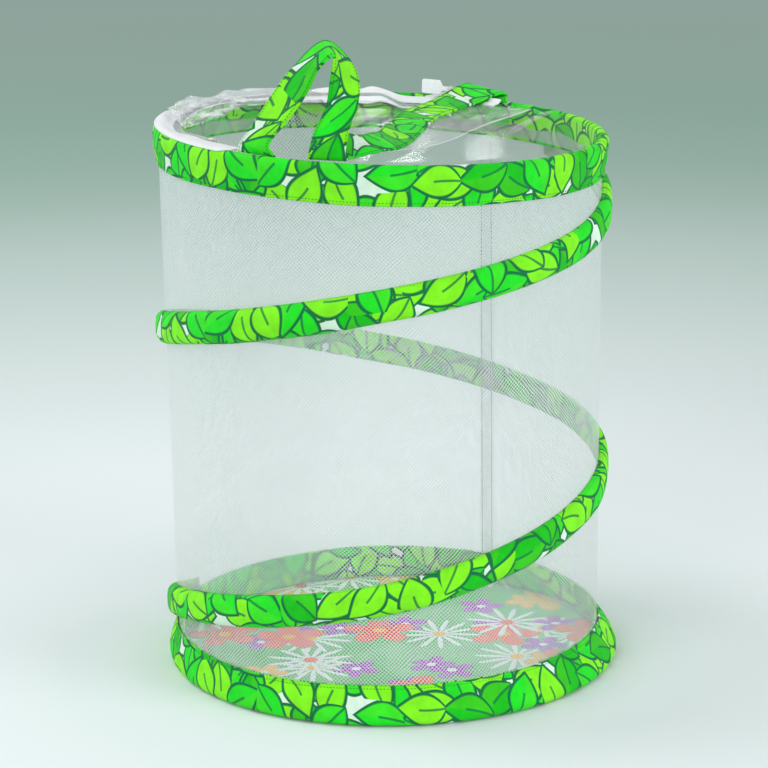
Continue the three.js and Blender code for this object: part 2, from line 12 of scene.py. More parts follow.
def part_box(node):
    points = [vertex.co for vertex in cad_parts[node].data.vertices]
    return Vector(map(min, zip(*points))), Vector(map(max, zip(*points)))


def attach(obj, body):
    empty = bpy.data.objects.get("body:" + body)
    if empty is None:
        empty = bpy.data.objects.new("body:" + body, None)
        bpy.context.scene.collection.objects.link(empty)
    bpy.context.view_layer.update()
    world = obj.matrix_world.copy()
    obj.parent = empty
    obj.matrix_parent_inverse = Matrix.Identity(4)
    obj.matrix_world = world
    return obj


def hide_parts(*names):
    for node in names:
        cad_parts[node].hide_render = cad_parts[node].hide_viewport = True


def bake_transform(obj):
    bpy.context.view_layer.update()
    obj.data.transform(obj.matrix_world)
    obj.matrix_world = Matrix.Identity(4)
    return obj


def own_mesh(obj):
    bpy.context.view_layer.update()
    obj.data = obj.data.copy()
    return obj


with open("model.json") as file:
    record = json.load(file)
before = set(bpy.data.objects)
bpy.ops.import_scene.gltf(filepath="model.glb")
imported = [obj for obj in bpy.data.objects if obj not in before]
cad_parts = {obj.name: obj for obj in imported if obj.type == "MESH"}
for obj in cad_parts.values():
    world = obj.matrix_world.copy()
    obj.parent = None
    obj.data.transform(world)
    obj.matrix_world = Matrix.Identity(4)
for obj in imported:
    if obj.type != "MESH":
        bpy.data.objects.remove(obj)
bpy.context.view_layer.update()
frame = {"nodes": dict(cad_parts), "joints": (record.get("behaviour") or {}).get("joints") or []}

bl_info = {
    "name": "Butterfly Habitat",
    "version": (1, 0, 0),
    "blender": (4, 5, 0),
    "location": "View3D > Sidebar > Habitat",
    "description": "Builds the cloth, net, clear lid and fittings of a pop-up butterfly habitat",
    "category": "Object",
}

MM = 0.001


def joint(name):
    """A joint of the frame by its name."""
    return next(j for j in frame["joints"] if j["name"] == name)


# Places that the frame gives: the rim's plane, the line that the lid folds on, the tab's pin
RIM_CENTRE = Vector(joint("zip_slider")["pos_m"])
RIM_UP = Vector(joint("zip_slider")["axis"]).normalized()
RIM_BACK = Vector((0, 1, 0))
RIM_RIGHT = RIM_BACK.cross(RIM_UP)
FOLD_POINT = Vector(joint("lid_flap")["pos_m"])
FOLD_LINE = Vector(joint("lid_flap")["axis"]).normalized()
FOLD_SIDE = RIM_UP.cross(FOLD_LINE)
FOLD_ANGLE = math.degrees(math.atan2(FOLD_LINE.y, FOLD_LINE.dot(RIM_RIGHT)))
FOLD_OFFSET = (FOLD_POINT - RIM_CENTRE).dot(FOLD_SIDE)
PIN = Vector(joint("pull_tab")["pos_m"])
PIN_LINE = Vector(joint("pull_tab")["axis"]).normalized()

# Hoops and bindings
BASE_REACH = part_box("base_binding")[1].y
TOP_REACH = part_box("top_binding")[1].y
BASE_BAND_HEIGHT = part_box("base_binding")[1].z
TOP_BAND_HEIGHT = 21 * MM
FOLD_BEND = 3.05 * MM  # outer radius of the cloth over a hoop
BASE_HOOP = BASE_REACH - FOLD_BEND
TOP_HOOP = TOP_REACH - FOLD_BEND
LEG_GAP = 1.0 * MM  # of each binding leg's middle, from the net's middle
SEAM_ANGLE = 59

# Net wall, between its edges in the two bindings
WALL_SHIFT = RIM_CENTRE.x
WALL_FOOT = 119 * MM
WALL_HEAD = 121 * MM
WALL_TUCK = 4 * MM
RIPPLE_REACH = 0.12  # radius at which the wall's ripples are read

# Spiral: the angle and middle height of its strip, as shares of the rim's height
SPIRAL_ANGLES = (400, 372, 338, 303, 269, 233, 197, 161, 125, 91, 50, 17, -24, -57, -92,
                 -129, -167, -192, -204)
SPIRAL_HEIGHT_SHARES = (0.9413, 0.901, 0.8467, 0.8017, 0.7557, 0.7, 0.646, 0.592, 0.5387,
                        0.484, 0.4333, 0.3983, 0.3387, 0.2843, 0.2273, 0.18, 0.1253, 0.0763,
                        0.0563)
SPIRAL_FIRST = 399.4
SPIRAL_LAST = -202.4
SPIRAL_HEIGHT = 17.5 * MM
SPIRAL_BULGE = 5.6 * MM
SPIRAL_LEAST = 5 * MM
SPIRAL_GAP = 0.35 * MM  # from the two bands
BAND_GAP = 0.5 * MM  # of what is pressed flat, over the lower band
SPIRAL_WIRE_LEAST = 13 * MM
SPIRAL_WIRE_RADIUS = 1.1 * MM

# Zip, as radii in the rim's plane
TEETH_MIDDLE = TOP_REACH - 12.65 * MM
TOOTH_REACH = 1.9 * MM
TAPE_THICKNESS = 0.8 * MM
RING_TAPE_INNER = TEETH_MIDDLE + TOOTH_REACH
RING_TAPE_WIDTH = 12 * MM
FLAP_TAPE_OUTER = TEETH_MIDDLE - TOOTH_REACH
FLAP_TAPE_WIDTH = 8 * MM
ZIP_FIRST = 64.3
ZIP_LAST = 219.3
RING_TAPE_FIRST = 60.5
RING_TAPE_LAST = 230.3

# Film, and how the lid hangs: how deep, and the angles and radii where it starts, is full,
# falls off and ends, for a dip beside the slider, a slump along the back, a sag along the left
FILM_LEVEL = -1.05 * MM
LID_DIP = 6.5 * MM
LID_DIP_ANGLES = (72.5, 78, 83, 91)
LID_DIP_RADII = (86 * MM, 102 * MM, 109 * MM, 123 * MM)
LID_SLUMP = 4.2 * MM
LID_SLUMP_ANGLES = (84, 94, 108, 138)
LID_SLUMP_RADIUS = 102 * MM
LID_SLUMP_WIDTH = 6 * MM
LID_SAG = 2.8 * MM
LID_SAG_ANGLES = (150, 176, 191, 211)
LID_SAG_RADII = (70 * MM, 104 * MM, 113 * MM, 121 * MM)
FILM_REACH = 117.6 * MM
FLAP_REACH = 110.2 * MM
FRILL_FIRST = 106
FRILL_LAST = 188
# Radius and height of the film's loose edge, in millimetres
FRILL_FOLD = ((108.5, 0.6), (113, 2.0), (118.5, 3.2), (121.5, 3.4), (117, 3.0), (109, 1.6), (99, 0.5),
              (90, -0.4))

# Edge of the film's second layer and its root under the strap, in the rim's plane, in millimetres
HEM_EDGE = ((-1, -92), (11, -83), (26, -67), (38, -47), (49, -17), (62, 14), (75, 40), (86, 64))
HEM_ROOT = ((-4, -90), (4, -80), (10, -60), (16, -35), (21, -8), (30, 30), (42, 56), (58, 80))
HEM_WIDTH = 26 * MM
CURL_EDGE = ((65, -43), (70, -26), (76, -6), (83, 19), (91, 41), (97, 58))
CURL_ROOT = ((62, -41), (65, -24), (70, -3), (77, 22), (85, 44), (91, 61))

# Strap: both edges pass through these places. Each row holds the plan place as a share of the
# rim's reach, as x and y, and the height above the rim as a share of the loop's height.
STRAP_LOOP = 57 * MM
STRAP_ROOT = TOP_REACH - 5.8 * MM
STRAP_ROOT_DROP = 0.3 * MM
STRAP_FRONT_ANGLES = (231.2, 242.6)
STRAP_BACK_ANGLES = (52.0, 61.5)
STRAP_SHARES = (
    (-0.591, -0.739, 0.052, -0.467, -0.844, 0.081),
    (-0.52, -0.735, 0.291, -0.38, -0.876, 0.367),
    (-0.445, -0.727, 0.555, -0.315, -0.884, 0.585),
    (-0.376, -0.723, 0.755, -0.266, -0.889, 0.813),
    (-0.246, -0.719, 1.003, -0.207, -0.897, 0.93),
    (-0.142, -0.727, 0.833, -0.208, -0.889, 0.852),
    (-0.104, -0.727, 0.646, -0.219, -0.872, 0.678),
    (-0.107, -0.79, 0.458, -0.234, -0.88, 0.457),
    (-0.137, -0.872, 0.264, -0.281, -0.897, 0.246),
    (-0.15, -0.905, 0.078, -0.299, -0.908, 0.09),
    (-0.147, -0.912, 0.012, -0.303, -0.908, 0.014),
    (-0.135, -0.893, 0.012, -0.232, -0.832, 0.099),
    (-0.089, -0.832, 0.014, -0.151, -0.743, 0.171),
    (-0.028, -0.735, 0.014, -0.089, -0.622, 0.125),
    (0.057, -0.646, 0.014, -0.051, -0.485, 0.094),
    (0.117, -0.477, 0.014, -0.02, -0.339, 0.053),
    (0.166, -0.226, 0.014, 0.012, -0.097, 0.028),
    (0.214, 0.048, 0.014, 0.061, 0.145, 0.023),
    (0.271, 0.291, 0.014, 0.125, 0.396, 0.025),
    (0.355, 0.452, 0.021, 0.21, 0.565, 0.035),
    (0.444, 0.606, 0.042, 0.291, 0.711, 0.077),
    (0.521, 0.719, 0.074, 0.368, 0.816, 0.137),
    (0.582, 0.767, 0.081, 0.408, 0.864, 0.137),
)

# Stitches
STITCH_WIDTH = 0.36 * MM
STITCH_HEIGHT = 0.26 * MM
STITCH_SHARE = 0.6  # of a pitch that a stitch covers

# Camera, fitted to the two hoops of the photograph
CAMERA_TARGET = Vector((-3 * MM, 0, 150 * MM))
CAMERA_DISTANCE = 1.55
CAMERA_ELEVATION = 14.87
CAMERA_ROLL = -0.72
FRAME_PIXELS = 768
FOCAL_PIXELS = 2775
AXIS_PIXEL = (385, 391.5)
SENSOR = 36


def measure(name, description, value):
    """A length that the user can change."""
    return FloatProperty(name=name, description=description, default=value, min=0,
                         subtype="DISTANCE", unit="LENGTH")


def colour(name, description, value):
    """A colour that the user can change."""
    return FloatVectorProperty(name=name, description=description, default=value, size=3,
                               min=0, max=1, subtype="COLOR_GAMMA")


class HabitatSizes(bpy.types.PropertyGroup):
    """Sizes of the cloth, net and stitches that a user would change"""

    cloth_thickness: measure("Cloth Thickness", "Of the bindings and the spiral's sleeve", 0.7 * MM)
    strap_thickness: measure("Strap Thickness", "Of the sewn double strap", 1.3 * MM)
    net_thickness: measure("Net Thickness", "Of the knitted wall", 0.3 * MM)
    film_thickness: measure("Film Thickness", "Of the clear lid", 0.3 * MM)
    net_cell: measure("Net Cell", "Side of one hole of the net", 1.5 * MM)
    stitch_pitch: measure("Stitch Pitch", "From one stitch to the next", 1.8 * MM)
    tooth_pitch: measure("Tooth Pitch", "From one tooth of the zip to the next", 1.5 * MM)
    leaf_size: measure("Leaf Size", "Spacing of the printed leaves", 27 * MM)
    flower_size: measure("Flower Size", "Spacing of the printed flowers", 42 * MM)
    seed: IntProperty(
        name="Seed", description="Of the creases in cloth and film", default=7, min=0)


class HabitatColours(bpy.types.PropertyGroup):
    """Colours of the print, the whites and the backdrop, as they look on screen"""

    lime: colour("Lime", "Lightest leaves", (0.5, 0.935, 0.1))
    green: colour("Green", "Middle leaves", (0.1, 0.87, 0.13))
    deep_green: colour("Deep Green", "Darkest leaves", (0.04, 0.75, 0.07))
    outline: colour("Outline", "Line round each leaf", (0.03, 0.43, 0.25))
    leaf_ground: colour("Leaf Ground", "Gaps between the leaves", (0.84, 0.94, 0.86))
    floor_ground: colour("Floor Ground", "Ground of the floor's print", (0.36, 0.75, 0.43))
    coral: colour("Coral", "Red flowers", (0.99, 0.36, 0.28))
    purple: colour("Purple", "Purple flowers", (0.7, 0.25, 0.8))
    yellow: colour("Yellow", "Yellow flowers", (1.0, 0.75, 0.12))
    white: colour("White", "Tapes and daisies", (0.94, 0.96, 0.97))
    net_white: colour("Net White", "Threads of the net", (0.905, 0.935, 0.94))
    zip_white: colour("Zip White", "Teeth, stops and slider", (0.86, 0.86, 0.83))
    thread: colour("Thread", "Stitches on the print", (0.1, 0.42, 0.2))
    steel: colour("Steel", "Hoops and spiral", (0.62, 0.63, 0.64))
    backdrop_near: colour("Backdrop Near", "Floor round the habitat", (0.88, 0.915, 0.92))
    backdrop_far: colour("Backdrop Far", "Background far behind", (0.593, 0.71, 0.66))


# Places

def ring_spot(radius, angle, *height):
    """A point on a level circle."""
    turn = math.radians(angle)
    return Vector((radius * math.cos(turn), radius * math.sin(turn), *height))


def rim_spot(right, back, height):
    """A point over the rim's own plane, whose top ridge is at height zero."""
    return RIM_CENTRE + RIM_RIGHT * right + RIM_BACK * back + RIM_UP * height


def rim_place(radius, angle, height=0.0):
    """A point round the rim, at a height over its plane."""
    return rim_spot(*ring_spot(radius, angle), height)


def base_place(radius, angle, height):
    """A point on the base, which slides over to the net's axis above the hoop."""
    share = min(1.0, max(0.0, (height - FOLD_BEND) / (BASE_BAND_HEIGHT - FOLD_BEND)))
    return ring_spot(radius, angle, height) + Vector((WALL_SHIFT * share, 0, 0))


def wall_place(out, angle, height):
    """A point at a distance out from the net, at a height between its two edges."""
    foot = base_place(WALL_FOOT + out, angle, BASE_BAND_HEIGHT)
    head = rim_place(WALL_HEAD + out, angle, -TOP_BAND_HEIGHT)
    share = (height - BASE_BAND_HEIGHT) / (RIM_CENTRE.z - TOP_BAND_HEIGHT - BASE_BAND_HEIGHT)
    return foot.lerp(head, share)


def ripple(size, *place):
    """Smooth noise from -1 to 1 whose bumps are about size apart."""
    point = Vector(place).to_3d() if len(place) == 2 else Vector(place)
    return noise.noise(point / size + Vector((sizes().seed, 0, 0)))


def fade(value, low, high):
    """A smooth step from 0 at low to 1 at high."""
    share = min(1.0, max(0.0, (value - low) / (high - low)))
    return share * share * (3 - 2 * share)


def even(run, count):
    """Distances that part a run evenly, with both of its ends."""
    return [run * i / count for i in range(count + 1)]


class Profile:
    """A line of points that is read by the distance along it."""

    def __init__(self, points):
        self.points = [Vector(p) for p in points]
        self.marks = [0.0]
        for a, b in zip(self.points, self.points[1:]):
            self.marks.append(self.marks[-1] + (b - a).length)
        self.length = self.marks[-1]

    def at(self, distance):
        """The point at a distance, and the line's direction there."""
        distance = min(self.length, max(0.0, distance))
        i = next(k for k, m in enumerate(self.marks[1:]) if distance <= m + 1e-12)
        a, b = self.points[i], self.points[i + 1]
        return a.lerp(b, (distance - self.marks[i]) / (self.marks[i + 1] - self.marks[i])), b - a


def folded_profile(hoop, height, outer_end, inner_end, side):
    """Radius and height along a strip that folds round a hoop; side is 1 if its legs hang."""
    bend = FOLD_BEND - sizes().cloth_thickness / 2

    def tangent(end, turn):
        reach = math.hypot(end[0] - hoop, end[1] - height)
        return math.atan2(end[1] - height, end[0] - hoop) + turn * math.acos(bend / reach)
    first = tangent(outer_end, side)
    last = tangent(inner_end, -side)
    while side * (last - first) < 0:
        last += side * 2 * math.pi
    arc = [(hoop + bend * math.cos(angle), height + bend * math.sin(angle))
           for angle in (first + turn for turn in even(last - first, 16))]
    return Profile([outer_end, *arc, inner_end])


def smooth_value(places, values, place):
    """A smooth value through a table whose places go down."""
    last = len(places) - 1

    def slope(i):
        before, after = max(i - 1, 0), min(i + 1, last)
        return (values[after] - values[before]) / (places[after] - places[before])

    i = next((k for k, p in enumerate(places) if p <= place), last)
    i = max(1, i)
    span = places[i] - places[i - 1]
    t = (place - places[i - 1]) / span
    bend = span * (t * (1 - t) ** 2 * slope(i - 1) - t * t * (1 - t) * slope(i))
    return values[i - 1] + (values[i] - values[i - 1]) * t * t * (3 - 2 * t) + bend


def curve_through(points, steps):
    """Points of a centripetal Catmull-Rom curve, the same number in every span."""
    ends = [2 * points[0] - points[1], *points, 2 * points[-1] - points[-2]]
    out = []
    for p0, p1, p2, p3 in zip(ends, ends[1:], ends[2:], ends[3:]):
        t1 = (p1 - p0).length ** 0.5
        t2 = t1 + (p2 - p1).length ** 0.5
        t3 = t2 + (p3 - p2).length ** 0.5
        for i in range(steps):
            t = t1 + (t2 - t1) * i / steps
            a1 = p0.lerp(p1, t / t1)
            a2 = p1.lerp(p2, (t - t1) / (t2 - t1))
            a3 = p2.lerp(p3, (t - t2) / (t3 - t2))
            b1 = a1.lerp(a2, t / t2)
            b2 = a2.lerp(a3, (t - t1) / (t3 - t1))
            out.append(b1.lerp(b2, (t - t1) / (t2 - t1)))
    return [*out, points[-1].copy()]


def hill(value, middle, width):
    """A smooth hill of height 1 round a middle."""
    return math.exp(-((value - middle) / width) ** 2)


def between(value, low, full, falling, end):
    """A smooth step up from low to full, and down again from falling to end."""
    return fade(value, low, full) * (1 - fade(value, falling, end))


def beside_slider(angle):
    """Share of the dip that the zip has beside its slider."""
    return between(angle, *LID_DIP_ANGLES)


def lid_hang(radius, angle):
    """How far the lid and its zip hang below the rim's plane."""
    angle %= 360
    dip = beside_slider(angle) * between(radius, *LID_DIP_RADII)
    slump = between(angle, *LID_SLUMP_ANGLES) * hill(radius, LID_SLUMP_RADIUS, LID_SLUMP_WIDTH)
    sag = between(angle, *LID_SAG_ANGLES) * between(radius, *LID_SAG_RADII)
    return LID_DIP * dip + LID_SLUMP * slump + LID_SAG * sag


# Pieces

def sizes():
    return bpy.context.scene.habitat_sizes


def colours():
    return bpy.context.scene.habitat_colours


def finished(name, bm, kind, body, thickness=0, smooth=True):
    """Turns a bmesh into a piece with a kind of finish that rides on a body. A sheet gets half
    its thickness to each side."""
    mesh = bpy.data.meshes.new(name)
    bm.to_mesh(mesh)
    bm.free()
    for face in mesh.polygons:
        face.use_smooth = smooth
    piece = bpy.data.objects.new(name, mesh)
    bpy.context.scene.collection.objects.link(piece)
    mesh.materials.append(finish(kind))
    if body:
        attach(piece, body)
    if thickness:
        wall = piece.modifiers.new("Thickness", "SOLIDIFY")
        wall.thickness = thickness
        wall.offset = 0
        wall.use_even_offset = False
    return piece


def flat_cut(length, width, columns, rows, place, flat=None):
    """A flat cut of cloth as a grid, carried to its place. place takes the distance along the
    cut and across it. The cut's own sizes, in millimetres, are its UV map, or flat's are."""
    bm = bmesh.new()
    bmesh.ops.create_grid(bm, x_segments=columns, y_segments=rows, size=0.5)
    uv = bm.loops.layers.uv.new("cut")
    for vert in bm.verts:
        vert.co = Vector(((vert.co.x + 0.5) * length, (vert.co.y + 0.5) * width, 0))
    for face in bm.faces:
        for loop in face.loops:
            on_cut = flat(*loop.vert.co.xy) if flat else loop.vert.co.xy
            loop[uv].uv = Vector(on_cut) / MM
    for vert in bm.verts:
        vert.co = place(*vert.co.xy)
    bmesh.ops.remove_doubles(bm, verts=bm.verts, dist=1e-7)
    bmesh.ops.recalc_face_normals(bm, faces=bm.faces)
    return bm


def tube(length, radius, columns, rows, place):
    """A closed tube. place takes the distance along it, and the offsets out and up."""
    girth = 2 * math.pi * radius

    def round_place(along, across):
        turn = 2 * math.pi * across / girth
        return place(along, radius * math.cos(turn), radius * math.sin(turn))

    bm = flat_cut(length, girth, columns, rows, round_place)
    bmesh.ops.holes_fill(bm, edges=[e for e in bm.edges if e.is_boundary], sides=0)
    bmesh.ops.recalc_face_normals(bm, faces=bm.faces)
    return bm


def stitches(bm, line, lift, length, width):
    """Adds a row of stitches. line is a list of points and lift the direction out at each."""
    pitch = sizes().stitch_pitch
    path = Profile(line)
    for i in range(int(path.length / pitch)):
        along = (i + 0.5) * pitch
        middle, way = path.at(along)
        way = way.normalized()
        k = min(range(len(line)), key=lambda n: abs(path.marks[n] - along))
        up = (lift[k] - way * lift[k].dot(way)).normalized()
        turn = Matrix((way, up.cross(way), up)).transposed().to_4x4()
        scale = Matrix.Diagonal((length, width, STITCH_HEIGHT, 1))
        made = bmesh.ops.create_cube(bm, size=1, matrix=Matrix.Translation(middle) @ turn @ scale)
        for vert in made["verts"]:
            if (vert.co - middle).dot(up) > 0:
                vert.co = middle + (vert.co - middle) * 0.75 + up * STITCH_HEIGHT * 0.12


def seam_lines(place, spots, insets, lift, faces=(1,)):
    """Lines along a cloth at its seams' insets, and the direction out at each of their points."""
    lines = []
    for across in insets:
        for face in faces:
            line = [place(s, across, face * lift) for s in spots]
            out = [(place(s, across, face * MM) - place(s, across)).normalized() for s in spots]
            lines.append((line, out))
    return lines


def on_cloth(thickness):
    """How far a thread's middle lies from the middle of the cloth."""
    return thickness / 2 + 0.05 * MM


def stitch_piece(name, lines, body, slot="leaf_print", length=None, width=STITCH_WIDTH,
                 kind="thread"):
    """One piece for all the rows of stitches of a cloth."""
    bm = bmesh.new()
    for line, lift in lines:
        stitches(bm, line, lift, length or sizes().stitch_pitch * STITCH_SHARE, width)
    return finished(name, bm, kind, body, smooth=False)


# Materials

class Shade:
    """A tree of nodes, written as short calls."""

    def __init__(self, tree):
        self.tree = tree

    def node(self, kind, inputs=None, **settings):
        made = self.tree.nodes.new("ShaderNode" + kind)
        for name, value in settings.items():
            setattr(made, name, value)
        for name, value in (inputs or {}).items():
            self.put(made.inputs[name], value)
        return made

    def put(self, socket, value):
        if isinstance(value, bpy.types.NodeSocket):
            self.tree.links.new(value, socket)
        else:
            socket.default_value = value

    def math(self, operation, *values, clamp=False):
        inputs = dict(enumerate(values))
        return self.node("Math", inputs, operation=operation, use_clamp=clamp).outputs[0]

    def times(self, a, b):
        return self.math("MULTIPLY", a, b)

    def plus(self, a, b):
        return self.math("ADD", a, b)

    def minus(self, a, b):
        return self.math("SUBTRACT", a, b)

    def rest(self, share):
        return self.minus(1.0, share)

    def vector(self, operation, place, value):
        """A place that is moved or sized."""
        socket = "Scale" if operation == "SCALE" else 1
        return self.node("VectorMath", {0: place, socket: value}, operation=operation).outputs[0]

    def parts(self, place):
        return self.node("SeparateXYZ", {0: place}).outputs

    def step(self, value, low, high, to=(0.0, 1.0)):
        """Goes evenly between two values as value goes from low to high."""
        ends = {"From Min": low, "From Max": high, "To Min": to[0], "To Max": to[1]}
        return self.node("MapRange", {"Value": value, **ends}).outputs[0]

    def mix(self, share, low, high):
        return self.node("Mix", {0: share, 6: low, 7: high}, data_type="RGBA").outputs[2]

    def noise(self, place, scale, detail=2.0, rough=0.5):
        inputs = {"Vector": place, "Scale": scale, "Detail": detail, "Roughness": rough}
        return self.node("TexNoise", inputs).outputs[0]

    def shaded(self, tone, value):
        """A colour made darker or lighter."""
        return self.node("HueSaturation", {"Color": tone, "Value": value}).outputs[0]

    def pick(self, luck, first, second, tones):
        """One of three colours: luck's value passes to the next at first and at second."""
        ramp = self.node("ValToRGB", {0: luck})
        steps = ramp.color_ramp
        steps.interpolation = "CONSTANT"
        steps.elements[0].color = linear(tones[0])
        steps.elements[1].position = first
        steps.elements[1].color = linear(tones[1])
        steps.elements.new(second).color = linear(tones[2])
        return ramp.outputs[0]

    def scatter(self, place, spread):
        """One motif to a cell: the place from its middle, and its luck as three numbers."""
        cell = self.node("TexVoronoi", {"Vector": place, "Scale": 1.0, "Randomness": spread},
                         voronoi_dimensions="2D", feature="F1").outputs
        luck = self.node("SeparateColor", {0: cell["Color"]}).outputs
        return self.vector("SUBTRACT", place, cell["Position"]), luck

    def bump(self, shader, height, strength, distance=0.15):
        """Puts a height under a shader as bump."""
        made = self.node("Bump", {"Height": height, "Strength": strength, "Distance": distance * MM})
        self.put(shader.inputs["Normal"], made.outputs[0])

    def see_through(self, cover, shader, out):
        """Shows a shader by its cover, and what lies behind for the rest."""
        clear = self.node("BsdfTransparent").outputs[0]
        both = self.node("MixShader", {0: cover, 1: clear, 2: shader.outputs[0]})
        self.put(out.inputs[0], both.outputs[0])


def linear(value):
    """A colour as written on screen, for a shader."""
    def channel(c):
        return c / 12.92 if c <= 0.04045 else ((c + 0.055) / 1.055) ** 2.4
    return (*(channel(c) for c in value), 1.0)


def new_material(name, **values):
    """An empty material with its Shade, Principled shader, set to these values, and output."""
    material = bpy.data.materials.new(name)
    material.use_nodes = True
    tree = material.node_tree
    tree.nodes.clear()
    shade = Shade(tree)
    shader = shade.node("BsdfPrincipled")
    for socket, value in values.items():
        shader.inputs[socket.replace("_", " ")].default_value = value
    out = shade.node("OutputMaterial", {0: shader.outputs[0]})
    return material, shade, shader, out


def cut_place(shade):
    """The place on the flat cut, in millimetres."""
    return shade.node("UVMap", uv_map="cut").outputs[0]


def object_place(shade):
    """The place in the row frame, in millimetres."""
    return shade.vector("SCALE", shade.node("TexCoord").outputs["Object"], 1 / MM)


def weave(shade, place, pitch=0.55):
    """Height of a plain weave with this pitch, in millimetres."""
    parts = shade.parts(place)
    turn = 2 * math.pi / pitch
    return shade.times(*(shade.math("SINE", shade.times(parts[k], turn)) for k in (0, 1)))


def leaf_layer():
    """Node group of one scatter of leaves: how much one covers a place, and its colours."""
    name = "leaf_layer"
    if name in bpy.data.node_groups:
        return bpy.data.node_groups[name]
    group = bpy.data.node_groups.new(name, "ShaderNodeTree")
    for label, kind in (("Place", "NodeSocketVector"), ("Seed", "NodeSocketFloat")):
        group.interface.new_socket(name=label, in_out="INPUT", socket_type=kind)
    for label in ("Cover", "Line", "Tone", "Half"):
        group.interface.new_socket(name=label, in_out="OUTPUT", socket_type="NodeSocketFloat")
    shade = Shade(group)
    given = group.nodes.new("NodeGroupInput").outputs
    shift = shade.node("CombineXYZ", {0: given[1], 1: shade.times(given[1], 1.7)}).outputs[0]
    away, luck = shade.scatter(shade.vector("ADD", given[0], shift), 0.6)
    turned = shade.node("VectorRotate", {"Vector": away, "Angle": shade.times(luck[0], 40)},
                        rotation_type="Z_AXIS").outputs[0]
    long, wide, _ = shade.parts(turned)
    along = shade.math("DIVIDE", long, shade.step(luck[1], 0, 1, (0.5, 0.62)))
    full = shade.rest(shade.times(along, along))
    curve = shade.times(full, shade.step(luck[2], 0, 1, (-0.14, 0.14)))
    aside = shade.minus(wide, curve)
    near = shade.math("ABSOLUTE", aside)
    swell = shade.minus(0.35, shade.times(along, 0.12))
    inside = shade.minus(shade.times(full, swell), near)
    edge = shade.rest(shade.step(inside, 0.056, 0.084))
    rib = shade.times(shade.rest(shade.step(near, 0.014, 0.032)), shade.math("LESS_THAN", along, 0.1))
    cover = shade.step(inside, 0.0, 0.012)
    line = shade.math("MAXIMUM", edge, shade.times(rib, 0.85))
    out = group.nodes.new("NodeGroupOutput")
    for socket, value in zip(out.inputs, (cover, line, luck[2], shade.step(aside, -0.03, 0.03))):
        shade.put(socket, value)
    return group


def leaf_colours(shade, place, size, layers):
    """Colour of the leaf print at a place on the cut."""
    c = colours()
    scaled = shade.vector("SCALE", place, MM / size)
    result = linear(c.leaf_ground)
    for i in range(layers):
        layer = shade.node("Group", node_tree=leaf_layer())
        shade.put(layer.inputs[0], scaled)
        shade.put(layer.inputs[1], 3.37 * (i + 1))
        cover, line, tone, half = layer.outputs
        leaf = shade.pick(tone, 0.42, 0.72, (c.lime, c.green, c.deep_green))
        paler = shade.mix(shade.times(half, 0.14), leaf, linear(c.lime))
        result = shade.mix(cover, result, shade.mix(line, paler, linear(c.outline)))
    return result


def leaf_cloth(name, size, layers):
    """Cloth with the leaf print, its weave, and its soft gathers across the cut."""
    material, shade, shader, _ = new_material(name, Sheen_Weight=0.05, Specular_IOR_Level=0.2)
    place = cut_place(shade)
    painted = leaf_colours(shade, place, size, layers)
    worn = shade.step(shade.noise(place, 0.09, 4, 0.6), 0.3, 0.72, (0.9, 1.14))
    shade.put(shader.inputs["Base Color"], shade.shaded(painted, worn))
    shade.put(shader.inputs["Roughness"], shade.step(shade.noise(place, 0.4), 0.3, 0.7, (0.62, 0.8)))
    gathers = shade.noise(shade.vector("MULTIPLY", place, (0.12, 0.035, 0)), 1.0, 3, 0.55)
    fine = shade.plus(weave(shade, place), shade.times(shade.noise(place, 0.9), 2.5))
    shade.bump(shader, shade.plus(fine, shade.times(gathers, 11.0)), 0.5)
    return material


def petals(shade, place, seed, size, count, sharp, core, reach):
    """How far inside a flower of a scatter a place lies, how far from its middle, and its luck."""
    shifted = shade.vector("ADD", place, (seed, seed * 1.3, 0))
    away, luck = shade.scatter(shade.vector("SCALE", shifted, MM / size), 0.8)
    x, y, _ = shade.parts(away)
    turn = shade.plus(shade.math("ARCTAN2", y, x), shade.times(luck[0], 6.3))
    far = shade.math("SQRT", shade.plus(shade.math("POWER", x, 2.0), shade.math("POWER", y, 2.0)))
    ray = shade.math("ABSOLUTE", shade.math("COSINE", shade.times(turn, count / 2)))
    wave = shade.times(shade.math("POWER", ray, sharp), 1 - core)
    return shade.minus(shade.times(shade.plus(core, wave), reach), far), far, luck


